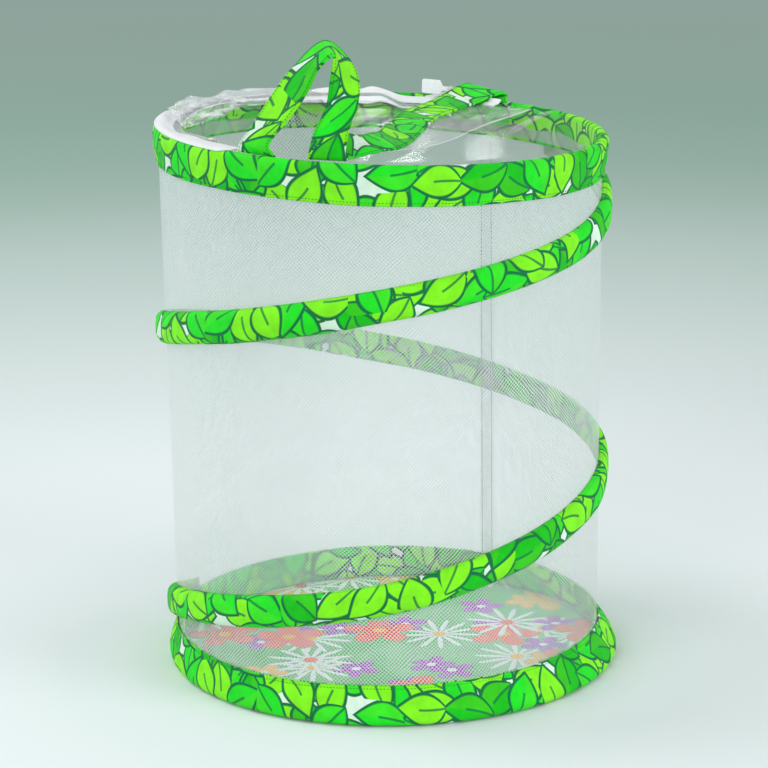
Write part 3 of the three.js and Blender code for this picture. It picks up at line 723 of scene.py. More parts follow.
def floor_cloth(name):
    """Cloth with the flower print."""
    material, shade, shader, _ = new_material(name, Roughness=0.75)
    c = colours()
    place = object_place(shade)
    pale = [0.65 * a + 0.35 * b for a, b in zip(c.floor_ground, c.white)]
    cloud = shade.step(shade.noise(place, 0.02, 3), 0.4, 0.62)
    result = shade.mix(cloud, linear(c.floor_ground), linear(pale))
    scatters = (
        # seed, size share, petals, sharpness, core, reach, rarity, colours by luck, centre
        (11, 1.3, 13, 2.4, 0.16, 0.46, 0.35, (c.white, c.white, c.white), c.yellow),
        (47, 0.9, 5, 0.6, 0.3, 0.37, 0.2, (c.purple, c.yellow, c.purple), c.white),
        (83, 1.25, 5, 0.6, 0.3, 0.42, 0.3, (c.coral, c.yellow, c.coral), c.yellow),
        (131, 1.4, 12, 2.8, 0.14, 0.44, 0.5, (c.white, c.white, c.white), c.coral),
    )
    for seed, share, count, sharp, core, reach, rarity, tones, centre in scatters:
        size = sizes().flower_size * share
        inside, far, luck = petals(shade, place, seed, size, count, sharp, core, reach)
        some = shade.math("GREATER_THAN", luck[1], rarity)
        cover = shade.times(shade.step(inside, 0.0, 0.015), some)
        line = shade.rest(shade.step(inside, 0.012, 0.03))
        petal = shade.pick(luck[2], 0.36, 0.68, tones)
        paler = shade.mix(shade.step(far, 0.05, 0.4, (0.0, 0.12)), petal, linear(c.white))
        inked = shade.mix(shade.times(line, 0.5), paler, linear(c.outline))
        eyed = shade.mix(shade.math("LESS_THAN", far, 0.07), inked, linear(centre))
        result = shade.mix(cover, result, eyed)
    shade.put(shader.inputs["Base Color"], result)
    creases = shade.times(shade.noise(place, 0.5), 3)
    shade.bump(shader, shade.plus(weave(shade, place, 0.7), creases), 0.45)
    return material


def net(name):
    """Two sets of slanting threads with see-through holes between them."""
    material, shade, shader, out = new_material(
        name, Base_Color=linear(colours().net_white), Roughness=0.6, Sheen_Weight=0.2)
    place = cut_place(shade)
    sway = shade.node("TexNoise", {"Vector": place, "Scale": 0.11, "Detail": 1.0})
    loose = shade.vector("SCALE", sway.outputs["Color"], 2.6)
    x, y, _ = shade.parts(shade.vector("ADD", place, loose))
    step = math.pi * MM / (sizes().net_cell * math.sqrt(2))
    slopes = (shade.times(slope, step) for slope in (shade.plus(x, y), shade.minus(x, y)))
    thread = shade.math("MINIMUM", *(shade.math("ABSOLUTE", shade.math("SINE", s)) for s in slopes))
    drift = shade.step(shade.noise(place, 0.05, 3), 0.3, 0.7, (0.17, 0.23))
    shade.bump(shader, shade.rest(thread), 0.6, 0.2)
    cover = shade.rest(shade.step(shade.minus(thread, drift), -0.07, 0.07))
    shade.see_through(cover, shader, out)
    return material


def tape(name):
    """Woven white tape."""
    material, shade, shader, _ = new_material(name, Roughness=0.7, Sheen_Weight=0.2)
    place = cut_place(shade)
    worn = shade.step(shade.noise(place, 0.15, 3), 0.3, 0.7, (0.93, 1.0))
    shade.put(shader.inputs["Base Color"], shade.shaded(linear(colours().white), worn))
    shade.bump(shader, weave(shade, place, 0.8), 0.6)
    return material


def speckled(name, tone, speckle, rough, bump, metal=0.0):
    """A plain hard finish. speckle holds its tone's noise: scale, detail, lowest value that
    counts, and the darkest and lightest share. rough is a number, or its noise's scale and
    its ends. bump holds a noise's scale and detail, and the bump's strength and distance."""
    material, shade, shader, _ = new_material(name, Metallic=metal)
    place = object_place(shade)
    scale, detail, low, ends = speckle
    worn = shade.step(shade.noise(place, scale, detail), low, 0.7, ends)
    shade.put(shader.inputs["Base Color"], shade.shaded(linear(tone), worn))
    if isinstance(rough, tuple):
        rough = shade.step(shade.noise(place, rough[0]), 0.3, 0.7, rough[1:])
    shade.put(shader.inputs["Roughness"], rough)
    shade.bump(shader, shade.noise(place, *bump[:2]), *bump[2:])
    return material


def film(name, base, haze_and_glints, gloss, grain=(0.02, 0.05), band=(0.5, 0.8)):
    """A clear film. haze_and_glints is its least and most white cover: real haze, and on the crumpled
    film partly painted glints of its creases. gloss is its share of mirror. grain is the clouds'
    number per millimetre, and band the part of the noise that they take."""
    material, shade, shader, out = new_material(
        name, Base_Color=linear(base), Roughness=0.09, Specular_IOR_Level=0.8)
    place = cut_place(shade)
    clouds = shade.noise(shade.vector("MULTIPLY", place, (*grain, 0)), 1.0, 5, 0.6)
    mirror = shade.times(shade.node("Fresnel", {"IOR": 1.33}).outputs[0], gloss)
    cover = shade.math("ADD", shade.step(clouds, *band, haze_and_glints), mirror, clamp=True)
    shade.bump(shader, shade.noise(place, 0.06, 3), 0.02, 0.6)
    shade.see_through(cover, shader, out)
    return material


FINISHES = {
    "leaf": lambda name: leaf_cloth(name, sizes().leaf_size, 5),
    "strap": lambda name: leaf_cloth(name, sizes().leaf_size * 1.12, 4),
    "floor": floor_cloth,
    "net": net,
    "tape": tape,
    "plastic": lambda name: speckled(name, colours().zip_white, (1.2, 3, 0.35, (0.9, 1.02)),
                                     (2.0, 0.28, 0.42), (3.0, 4, 0.15, 0.1)),
    "tab": lambda name: speckled(name, colours().white, (0.3, 3, 0.3, (0.94, 1.0)), 0.45,
                                 (1.5, 4, 0.2, 0.1)),
    "steel": lambda name: speckled(name, colours().steel, (0.6, 4, 0.3, (0.85, 1.05)),
                                   (4.0, 0.25, 0.45), (6.0, 3, 0.2, 0.05), metal=1.0),
    "thread": lambda name: speckled(name, colours().thread, (0.8, 2, 0.3, (0.8, 1.1)), 0.7,
                                    (5.0, 2, 0.4, 0.1)),
    "white_thread": lambda name: speckled(name, colours().white, (0.8, 2, 0.3, (0.86, 0.98)), 0.7,
                                          (5.0, 2, 0.4, 0.1)),
    "film": lambda name: film(name, (0.5, 0.53, 0.53), (0.0, 0.03), 0.11),
    # Its white streaks are partly haze in the creases and partly painted glints of the crumpled film.
    "crumpled_film": lambda name: film(name, (0.95, 0.97, 0.98), (0.03, 0.9), 0.22,
                                       (0.05, 0.14), (0.5, 0.72)),
    "double_film": lambda name: film(name, (0.9, 0.93, 0.92), (0.03, 0.3), 0.12,
                                     (0.03, 0.12), (0.46, 0.74)),
    "teeth": lambda name: film(name, (0.88, 0.9, 0.91), (0.25, 0.5), 0.2),
}


def finish(kind):
    """A finish's material, built when it is first asked for."""
    name = kind + "_finish"
    return bpy.data.materials.get(name) or FINISHES[kind](name)


# Operators

class HABITAT_OT_stage(bpy.types.Operator):
    """Make the camera, the lamps and the pale floor"""

    bl_idname = "habitat.stage"
    bl_label = "Stage"
    world_strength = 0.6
    # Name, place, width, height and power
    lamp_rows = (
        ("key", (-1.7, 0.5, 1.9), 1.3, 1.3, 22),
        ("fill", (-1.5, -2.2, 1.3), 1.6, 1.6, 25),
        ("side", (2.35, -1.35, 1.1), 1.6, 1.6, 40),
        ("film_mirror_left", (0.037, 1.9, 0.655), 0.085, 0.035, 0.13),
        ("film_mirror_right", (0.152, 1.9, 0.645), 0.05, 0.035, 0.06),
    )
    floor_radius = 14
    floor_drop = 0.6 * MM
    # Distance from the habitat in metres, and how far the floor's colour has turned by there. The
    # first row is painted shade: the floor round the habitat's foot is a little darker.
    gradient = ((0.18, 0.1), (0.28, 0.0), (0.42, 0.02), (0.6, 0.19), (0.92, 0.46), (1.14, 0.62),
                (1.38, 0.85), (1.6, 0.96), (1.9, 1.0), (2.4, 0.93), (3.0, 0.85))
    gradient_reach = 4.0

    def execute(self, context):
        self.camera(context)
        self.lamps(context)
        self.floor(context)
        return {"FINISHED"}

    def camera(self, context):
        data = bpy.data.cameras.new("camera")
        data.sensor_width = SENSOR
        data.lens = FOCAL_PIXELS / FRAME_PIXELS * SENSOR
        data.shift_x = (FRAME_PIXELS / 2 - AXIS_PIXEL[0]) / FRAME_PIXELS
        data.shift_y = (AXIS_PIXEL[1] - FRAME_PIXELS / 2) / FRAME_PIXELS
        data.clip_end = 50
        rise = math.radians(CAMERA_ELEVATION)
        back = Vector((0, -math.cos(rise), math.sin(rise)))
        made = bpy.data.objects.new("camera", data)
        context.scene.collection.objects.link(made)
        turn = (-back).to_track_quat("-Z", "Y").to_matrix().to_4x4()
        roll = Matrix.Rotation(math.radians(CAMERA_ROLL), 4, "Z")
        made.matrix_world = Matrix.Translation(CAMERA_TARGET + back * CAMERA_DISTANCE) @ turn @ roll
        context.scene.camera = made

    def lamps(self, context):
        world = bpy.data.worlds.new("soft_light")
        context.scene.world = world
        world.use_nodes = True
        light = world.node_tree.nodes["Background"]
        light.inputs[0].default_value = (1, 1, 1, 1)
        light.inputs[1].default_value = self.world_strength
        middle = Vector((0, 0, CAMERA_TARGET.z))
        for name, place, width, height, power in self.lamp_rows:
            data = bpy.data.lights.new(name, "AREA")
            data.shape = "ELLIPSE"
            data.size = width
            data.size_y = height
            data.energy = power
            lamp = bpy.data.objects.new(name, data)
            context.scene.collection.objects.link(lamp)
            lamp.location = place
            lamp.rotation_euler = (middle - Vector(place)).to_track_quat("-Z", "Y").to_euler()
            lamp.visible_camera = False

    def floor(self, context):
        bm = bmesh.new()
        bmesh.ops.create_circle(bm, cap_ends=True, segments=96, radius=self.floor_radius)
        for vert in bm.verts:
            vert.co.z = -self.floor_drop
        material, shade, shader, _ = new_material(
            "studio_floor", Roughness=0.9, Specular_IOR_Level=0.1)
        place = shade.node("TexCoord").outputs["Object"]
        away = shade.node("VectorMath", {0: place}, operation="LENGTH").outputs["Value"]
        ramp = shade.node("ValToRGB", {0: shade.math("DIVIDE", away, self.gradient_reach)})
        tones = ramp.color_ramp.elements
        low, high = (Vector(linear(c)) for c in (colours().backdrop_near, colours().backdrop_far))
        for end, (_, share) in zip(tones[:], (self.gradient[0], self.gradient[-1])):
            end.color = low.lerp(high, share)
        for spot, share in self.gradient:
            tones.new(spot / self.gradient_reach).color = low.lerp(high, share)
        shade.put(shader.inputs["Base Color"], ramp.outputs[0])
        mesh = bpy.data.meshes.new("studio_floor")
        bm.to_mesh(mesh)
        bm.free()
        mesh.materials.append(material)
        made = bpy.data.objects.new("studio_floor", mesh)
        context.scene.collection.objects.link(made)


class HABITAT_OT_hoops(bpy.types.Operator):
    """Finish the sprung wires, their ferrules and the zip's small fittings"""

    bl_idname = "habitat.hoops"
    bl_label = "Hoops and Fittings"

    def execute(self, context):
        steel = ("base_hoop_wire", "base_hoop_ferrule", "top_hoop_wire", "top_hoop_ferrule")
        plastic = ("zipper_slider", "zipper_stop_rear", "zipper_stop_front")
        for names, kind in ((steel, "steel"), (plastic, "plastic")):
            for name in names:
                mesh = frame["nodes"][name].data
                mesh.materials.clear()
                mesh.materials.append(finish(kind))
        return {"FINISHED"}


class HABITAT_OT_floor(bpy.types.Operator):
    """Make the printed floor cloth"""

    bl_idname = "habitat.floor"
    bl_label = "Floor"
    binding_gap = 0.4 * MM
    calm_edge = 18 * MM
    wave = 0.5 * MM

    def execute(self, context):
        reach = BASE_HOOP - FOLD_BEND - self.binding_gap
        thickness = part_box("floor_panel")[1].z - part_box("floor_panel")[0].z

        def place(along, across):
            x, y = ring_spot(across, 360 * along / reach)
            calm = fade(reach - across, 0, self.calm_edge)
            rise = calm * self.wave * (1 + ripple(26 * MM, x, y, 0.0))
            return Vector((x, y, thickness / 2 + rise))

        bm = flat_cut(reach, reach, 160, 24, place)
        piece = finished("floor_cloth", bm, "floor", "base", thickness * 0.9)
        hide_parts("floor_panel")
        return {"FINISHED"}


class HABITAT_OT_bindings(bpy.types.Operator):
    """Make the two leaf-print strips that fold round the hoops"""

    bl_idname = "habitat.bindings"
    bl_label = "Bindings"
    seam_inset = 1.7 * MM
    seam_dent = 0.22 * MM
    pucker = 0.55 * MM
    wander = 0.56 * MM
    inner_share = 0.35  # of the outer leg's puckers, on the leg inside
    # Where the cloth starts to be loose and is so fully: from the cut's edge, and from its fold
    loose_off_edge = (3.5 * MM, 9 * MM)
    loose_off_fold = (3 * MM, 8 * MM)
    pucker_row = (6 * MM, 4.2 * MM)  # its distance from the edge, and its width
    wander_reach = 10 * MM
    # How far apart the bulges, gathers, puckers and wanders are
    bulge_size = 34 * MM
    gather_size = 90 * MM
    pucker_size = 6.5 * MM
    wander_size = 45 * MM

    def execute(self, context):
        self.binding("base", BASE_HOOP, WALL_FOOT, BASE_BAND_HEIGHT, base_place, 1)
        self.binding("top", TOP_HOOP, WALL_HEAD, -TOP_BAND_HEIGHT, rim_place, -1)
        return {"FINISHED"}

    def binding(self, body, hoop, wall, edge_height, carry, up):
        centre = Vector((hoop, FOLD_BEND * up))
        net_middle = wall - sizes().net_thickness / 2
        profile = folded_profile(*centre, (net_middle + LEG_GAP, edge_height),
                                 (net_middle - LEG_GAP, edge_height), -up)
        length = 2 * math.pi * hoop

        def place(along, across, lift=0.0):
            angle = SEAM_ANGLE + math.degrees(along / hoop)
            (radius, height), way = profile.at(across)
            normal = Vector((way.y, -way.x)).normalized()
            if normal.dot(Vector((radius, height)) - centre) < 0:
                normal = -normal
            ring = ring_spot(hoop, angle)
            edge = min(across, profile.length - across)
            loose = fade(edge, *self.loose_off_edge)
            loose *= fade(profile.length / 2 - edge, *self.loose_off_fold)
            swell = loose * (0.5 + 0.7 * ripple(self.bulge_size, *ring, height)) * MM
            gather = 0.55 + 0.9 * fade(ripple(self.gather_size, *ring, 5.0), -0.2, 0.4)
            pucker = hill(edge, *self.pucker_row) * gather * self.pucker
            swell += pucker * ripple(self.pucker_size, *ring, height * 0.4)
            swell -= self.seam_dent * hill(edge, self.seam_inset, 0.9 * MM)
            out = swell * (1.0 if across < profile.length / 2 else self.inner_share) + lift
            wander = self.wander * ripple(self.wander_size, *ring, 0.3)
            wander *= fade(self.wander_reach - edge, 0, self.wander_reach)
            return carry(radius + normal.x * out, angle, height + normal.y * out - up * wander)

        bm = flat_cut(length, profile.length, 400, 40, place)
        name = body + "_binding_cloth"
        piece = finished(name, bm, "leaf", body, sizes().cloth_thickness)
        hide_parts(body + "_binding")
        lines = seam_lines(place, even(length, 720)[:-1], [self.seam_inset],
                           on_cloth(sizes().cloth_thickness))
        stitch_piece(name + "_stitches", lines, body)


def spiral_at(angle):
    """Middle height, half height and bulge of the spiral's strip at an angle."""
    middle = smooth_value(SPIRAL_ANGLES, SPIRAL_HEIGHT_SHARES, angle) * RIM_CENTRE.z
    top = min(middle + SPIRAL_HEIGHT / 2, RIM_CENTRE.z - TOP_BAND_HEIGHT - SPIRAL_GAP)
    foot = max(middle - SPIRAL_HEIGHT / 2, BASE_BAND_HEIGHT + SPIRAL_GAP)
    height = max(top - foot, SPIRAL_LEAST)
    return (top + foot) / 2, height / 2, SPIRAL_BULGE * math.sqrt(height / SPIRAL_HEIGHT)


class HABITAT_OT_spiral(bpy.types.Operator):
    """Make the spiral's sleeve, its stitches and the sprung wire inside"""

    bl_idname = "habitat.spiral"
    bl_label = "Spiral"
    seam_inset = 1.4 * MM
    rise = 0.23  # of the whole strip, for its length
    front_width = 22 * MM
    back_width = 16.5 * MM
    edge_gap = 0.75 * MM  # from the net, at the sleeve's two edges
    back_gap = 0.42 * MM  # from the net, behind the sleeve
    back_wave = 0.15 * MM
    edge_turn = math.pi / 2 * 0.86
    roundness = 2.6  # power by which the front bulges
    pucker = 0.3 * MM
    pucker_size = 5 * MM
    wander = 0.5 * MM
    wander_size = 40 * MM
    wire_columns = 420
    wire_step = 2.5  # degrees
    wire_depth = 2.6 * MM  # inside the strip's bulge

    def execute(self, context):
        stretch = math.radians(SPIRAL_FIRST - SPIRAL_LAST)
        run = math.hypot(stretch * WALL_HEAD, self.rise)
        cut_width = self.front_width + self.back_width

        def place(along, across, lift=0.0):
            angle = SPIRAL_FIRST - math.degrees(stretch) * along / run
            middle, half, bulge = spiral_at(angle)
            if across > self.front_width:
                side = 1 - 2 * (across - self.front_width) / self.back_width
                out = self.back_gap + self.back_wave * ripple(12 * MM, along, across, 0.0)
                return wall_place(out, angle, middle + half * 0.97 * side)
            side = across / self.front_width * 2 - 1
            rise = half * math.sin(side * self.edge_turn) / math.sin(self.edge_turn)
            crown = max(0.0, 1 - abs(side) ** self.roundness)
            spot = ring_spot(RIPPLE_REACH, angle, middle)
            soft = 1 + 0.16 * ripple(30 * MM, *spot) + 0.1 * side * ripple(18 * MM, *spot)
            pucker = self.pucker * ripple(self.pucker_size, *spot) * hill(abs(side), 1, 0.3)
            wander = self.wander * ripple(self.wander_size, *spot)
            out = self.edge_gap + crown * ((bulge - self.edge_gap) * soft + pucker)
            return wall_place(out + lift, angle, middle + rise + wander)

        bm = flat_cut(run, cut_width, 760, 28, place)
        thickness = sizes().cloth_thickness
        sleeve = finished("spiral_sleeve", bm, "leaf", "base", thickness)
        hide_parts("spiral_binding")
        insets = (self.seam_inset, self.front_width - self.seam_inset)
        lines = seam_lines(place, even(run, 1200), insets, on_cloth(thickness))
        sewn = stitch_piece("spiral_stitches", lines, "base")
        crush(sleeve, sewn, self.wire())
        return {"FINISHED"}

    def wire(self):
        angles = [SPIRAL_FIRST - i * self.wire_step
                  for i in range(int((SPIRAL_FIRST - SPIRAL_LAST) / self.wire_step) + 1)]
        angles = [a for a in angles if 2 * spiral_at(a)[1] >= SPIRAL_WIRE_LEAST]
        length = math.radians(angles[0] - angles[-1]) * WALL_HEAD

        def place(along, out, up):
            angle = angles[0] + (angles[-1] - angles[0]) * along / length
            middle, _, bulge = spiral_at(angle)
            return wall_place(bulge - self.wire_depth + out, angle, middle + up)

        bm = tube(length, SPIRAL_WIRE_RADIUS, self.wire_columns, 12, place)
        piece = finished("spiral_spring", bm, "steel", "base")
        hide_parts("spiral_wire")
        return piece


def crush(*pieces):
    """Gives each piece its own copy of its mesh."""
    for piece in pieces:
        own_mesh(piece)


class HABITAT_OT_net(bpy.types.Operator):
    """Make the net wall and the tape behind its upright seam"""

    bl_idname = "habitat.net"
    bl_label = "Net"
    sway = 0.35 * MM
    edge_inset = 2.5 * MM
    edge_width = 6.8 * MM
    seam_width = 9 * MM
    seam_inset = 1.2 * MM
    seam_thickness = 0.3 * MM
    seam_gap = 1.1 * MM  # of the tape's middle, from the net's
    seam_stitch = (1.3 * MM, 0.35 * MM)

    def execute(self, context):
        foot = BASE_BAND_HEIGHT - WALL_TUCK
        head = RIM_CENTRE.z - TOP_BAND_HEIGHT + WALL_TUCK
        length, height = math.pi * (WALL_FOOT + WALL_HEAD), head - foot
        thickness = sizes().net_thickness

        def place(along, across):
            angle = SEAM_ANGLE + 360 * along / length
            level = foot + across
            if level < BASE_BAND_HEIGHT:
                share = (BASE_BAND_HEIGHT - level) / (BASE_BAND_HEIGHT - FOLD_BEND)
                radius = WALL_FOOT + (BASE_HOOP - WALL_FOOT) * share
                return base_place(radius - thickness / 2, angle, level)
            calm = fade(level, BASE_BAND_HEIGHT, BASE_BAND_HEIGHT + 30 * MM)
            calm *= fade(RIM_CENTRE.z - TOP_BAND_HEIGHT - level, 12 * MM, 60 * MM)
            sway = calm * self.sway * ripple(70 * MM, *ring_spot(RIPPLE_REACH, angle, level))
            return wall_place(sway - thickness / 2, angle, level)

        bm = flat_cut(length, height, 288, 72, place)
        wall = finished("net_wall", bm, "net", "base", thickness)
        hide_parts("mesh_wall")
        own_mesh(wall)
        self.seam()
        self.edge()
        return {"FINISHED"}

    def edge(self):
        """The net's own edge, turned in over the upper binding's inner leg."""
        radius = WALL_HEAD - self.edge_inset
        foot, width = 1.6 * MM - TOP_BAND_HEIGHT, self.edge_width

        def place(along, across):
            angle = SEAM_ANGLE + math.degrees(along / radius)
            ring = ring_spot(radius, angle)
            wander = 2.2 * MM * ripple(26 * MM, *ring, 0.0) * across / width
            buckle = 0.4 * MM * ripple(9 * MM, *ring, across)
            return rim_place(radius + buckle, angle, foot + across + wander)

        bm = flat_cut(2 * math.pi * radius, width, 240, 6, place)
        finished("net_edge", bm, "net", "top", sizes().net_thickness)

    def seam(self):
        """The tape behind the upright seam, and its two rows of stitches."""
        width = self.seam_width
        foot = BASE_BAND_HEIGHT + BAND_GAP
        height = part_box("wall_seam_tape")[1].z - foot

        def place(along, across, lift=0.0):
            angle = SEAM_ANGLE + math.degrees((across - width / 2) / WALL_FOOT)
            sag = 0.15 * MM * ripple(20 * MM, across, along, 0.0)
            return wall_place(sag + lift - self.seam_gap, angle, foot + along)

        bm = flat_cut(height, width, 90, 6, place)
        tape = finished("net_seam_tape", bm, "net", "base", self.seam_thickness)
        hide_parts("wall_seam_tape")
        insets = (self.seam_inset, width - self.seam_inset)
        lines = seam_lines(place, even(height, 200), insets, self.seam_thickness, (-1,))
        sewn = stitch_piece("net_seam_stitches", lines, "base", "white_tape", *self.seam_stitch)
        crush(tape, sewn)


def bend_at_fold(*pieces):
    """Bakes each piece's world placement into its mesh."""
    for piece in pieces:
        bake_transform(piece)


class HABITAT_OT_lid(bpy.types.Operator):
    """Make the clear lid and the frill of film behind its zip"""

    bl_idname = "habitat.lid"
    bl_label = "Clear Lid"
    # Distances from the fold line at which the flap's waves start and are full
    waves_start = 4 * MM
    waves_full = 45 * MM
    fold_ridge = 2.2 * MM
    edge_roll = (16 * MM, 9 * MM)  # distance from the film's edge, and width
    calm_edge = 14 * MM
    frill_lowest = -0.7 * MM
    # Along the frill, how far its ends take to rise and to widen
    frill_rise = (22 * MM, 30 * MM)
    frill_widen = (14 * MM, 46 * MM)
    hem_height = 0.6 * MM
    root_height = 0.2 * MM
    hem_curl = 0.3 * MM
    hem_stitch_lift = 0.3 * MM
    hem_row = 0.97  # of the hem's width, where its stitches are
    hem_stitch = (0.95 * MM, 0.4 * MM)

    def execute(self, context):
        self.film()
        self.frill()
        self.layer("lid_film_hem", HEM_EDGE, HEM_ROOT, True)
        self.layer("lid_film_curl", CURL_EDGE, CURL_ROOT, False)
        return {"FINISHED"}

    def film(self):
        first = math.degrees(math.asin(FOLD_OFFSET / FLAP_REACH))

        def reach(angle):
            """The film runs to the rim, and to the zip where it unzips."""
            aside = (angle - FOLD_ANGLE) % 360
            near = min(abs(aside - first), abs(aside - (180 - first)))
            share = fade(near if first < aside < 180 - first else -near, 0, 1.2)
            return FILM_REACH + (FLAP_REACH - FILM_REACH) * share

        def plan(along, across):
            return ring_spot(across * reach(360 * along), 360 * along)

        def place(along, across):
            x, y = plan(along, across)
            edge = (1 - across) * reach(360 * along)
            slope = math.radians(FOLD_ANGLE)
            aside = y * math.cos(slope) - x * math.sin(slope)
            flap = fade(aside, FOLD_OFFSET + self.waves_start, FOLD_OFFSET + self.waves_full)
            wave = ripple(75 * MM, x, y, 0.0) * (0.08 + 1.4 * flap)
            wave += ripple(24 * MM, x, y, 1.0) * 0.8 * flap
            crumple = abs(ripple(26 * MM, x * 1.5, y, 2.0)) + 0.5 * abs(ripple(11 * MM, x, y, 8.0))
            wave += flap * hill(edge, *self.edge_roll) * (2.0 - 5 * crumple)
            wave += 0.5 * hill(aside, FOLD_OFFSET, self.fold_ridge) - 0.3
            height = FILM_LEVEL + fade(edge, 1 * MM, self.calm_edge) * wave * MM
            radius, angle = math.hypot(x, y), math.degrees(math.atan2(y, x))
            return rim_place(radius, angle, height - lid_hang(radius, angle))

        bm = flat_cut(1, 1, 240, 72, place, flat=plan)
        piece = finished("lid_film", bm, "film", None, sizes().film_thickness)
        bend_at_fold(piece)
        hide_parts("lid_fixed_film", "lid_flap_film")

    def frill(self):
        """The loose edge of the film stands up over the zip, crumples and lies back in."""
        fold = Profile([(r * MM, h * MM) for r, h in FRILL_FOLD])
        radius = FRILL_FOLD[0][0] * MM
        length = math.radians(FRILL_LAST - FRILL_FIRST) * radius

        def place(along, across):
            angle = FRILL_FIRST + math.degrees(along / radius)
            (out, height), _ = fold.at(across)
            share = across / fold.length
            loose = math.sin(math.pi * share ** 0.7)
            big = ripple(21 * MM, along, across * 1.6, 3.0)
            small = abs(ripple(13 * MM, along * 1.2, across, 5.0)) - 0.2
            height += loose * (big * 1.7 + small * 2.4) * MM
            out += loose * ripple(15 * MM, along, across, 8.0) * 3.5 * MM
            out -= share ** 3 * 9 * MM * ripple(17 * MM, along, 2.0, 0.0)
            ends, narrow = (between(along, 0, start, length - end, length)
                            for start, end in (self.frill_rise, self.frill_widen))
            out = radius + (out - radius) * (0.1 + 0.9 * narrow)
            low = 0.3 * MM * (1 + share)
            hang = lid_hang(out, angle) * share
            return rim_place(out, angle, low + (max(height, self.frill_lowest) - low) * ends - hang)

        bm = flat_cut(length, fold.length, 240, 30, place)
        finished("lid_film_frill", bm, "crumpled_film", "flap", sizes().film_thickness * 0.8)

    def layer(self, name, edge_spots, root_spots, dots):
        """A second layer of film between two lines in the rim's plane, curled at its edge."""
        edge, root = (curve_through([rim_spot(x * MM, y * MM, height) for x, y in spots], 12)
                      for spots, height in ((edge_spots, self.hem_height),
                                            (root_spots, self.root_height)))
        count = len(edge) - 1
        length = Profile(edge).length

        def place(along, across):
            i = min(count - 1, int(along))
            near, far = (line[i].lerp(line[i + 1], along - i) for line in (edge, root))
            spot = far.lerp(near, across)
            curl = hill(across, 1, 0.12)
            sag = ripple(32 * MM, spot.x, spot.y, 0.0) * across
            return spot + RIM_UP * (curl + sag) * self.hem_curl

        def cut(along, across):
            return along / count * length, across * HEM_WIDTH

        bm = flat_cut(count, 1, count, 14, place, flat=cut)
        finished(name, bm, "double_film", "top", sizes().film_thickness / 2)
        if dots:
            line = [place(spot, self.hem_row) + RIM_UP * self.hem_stitch_lift
                    for spot in even(count, 240)]
            stitch_piece(name + "_dots", [(line, [RIM_UP] * len(line))], "top", "film",
                         *self.hem_stitch, "white_thread")


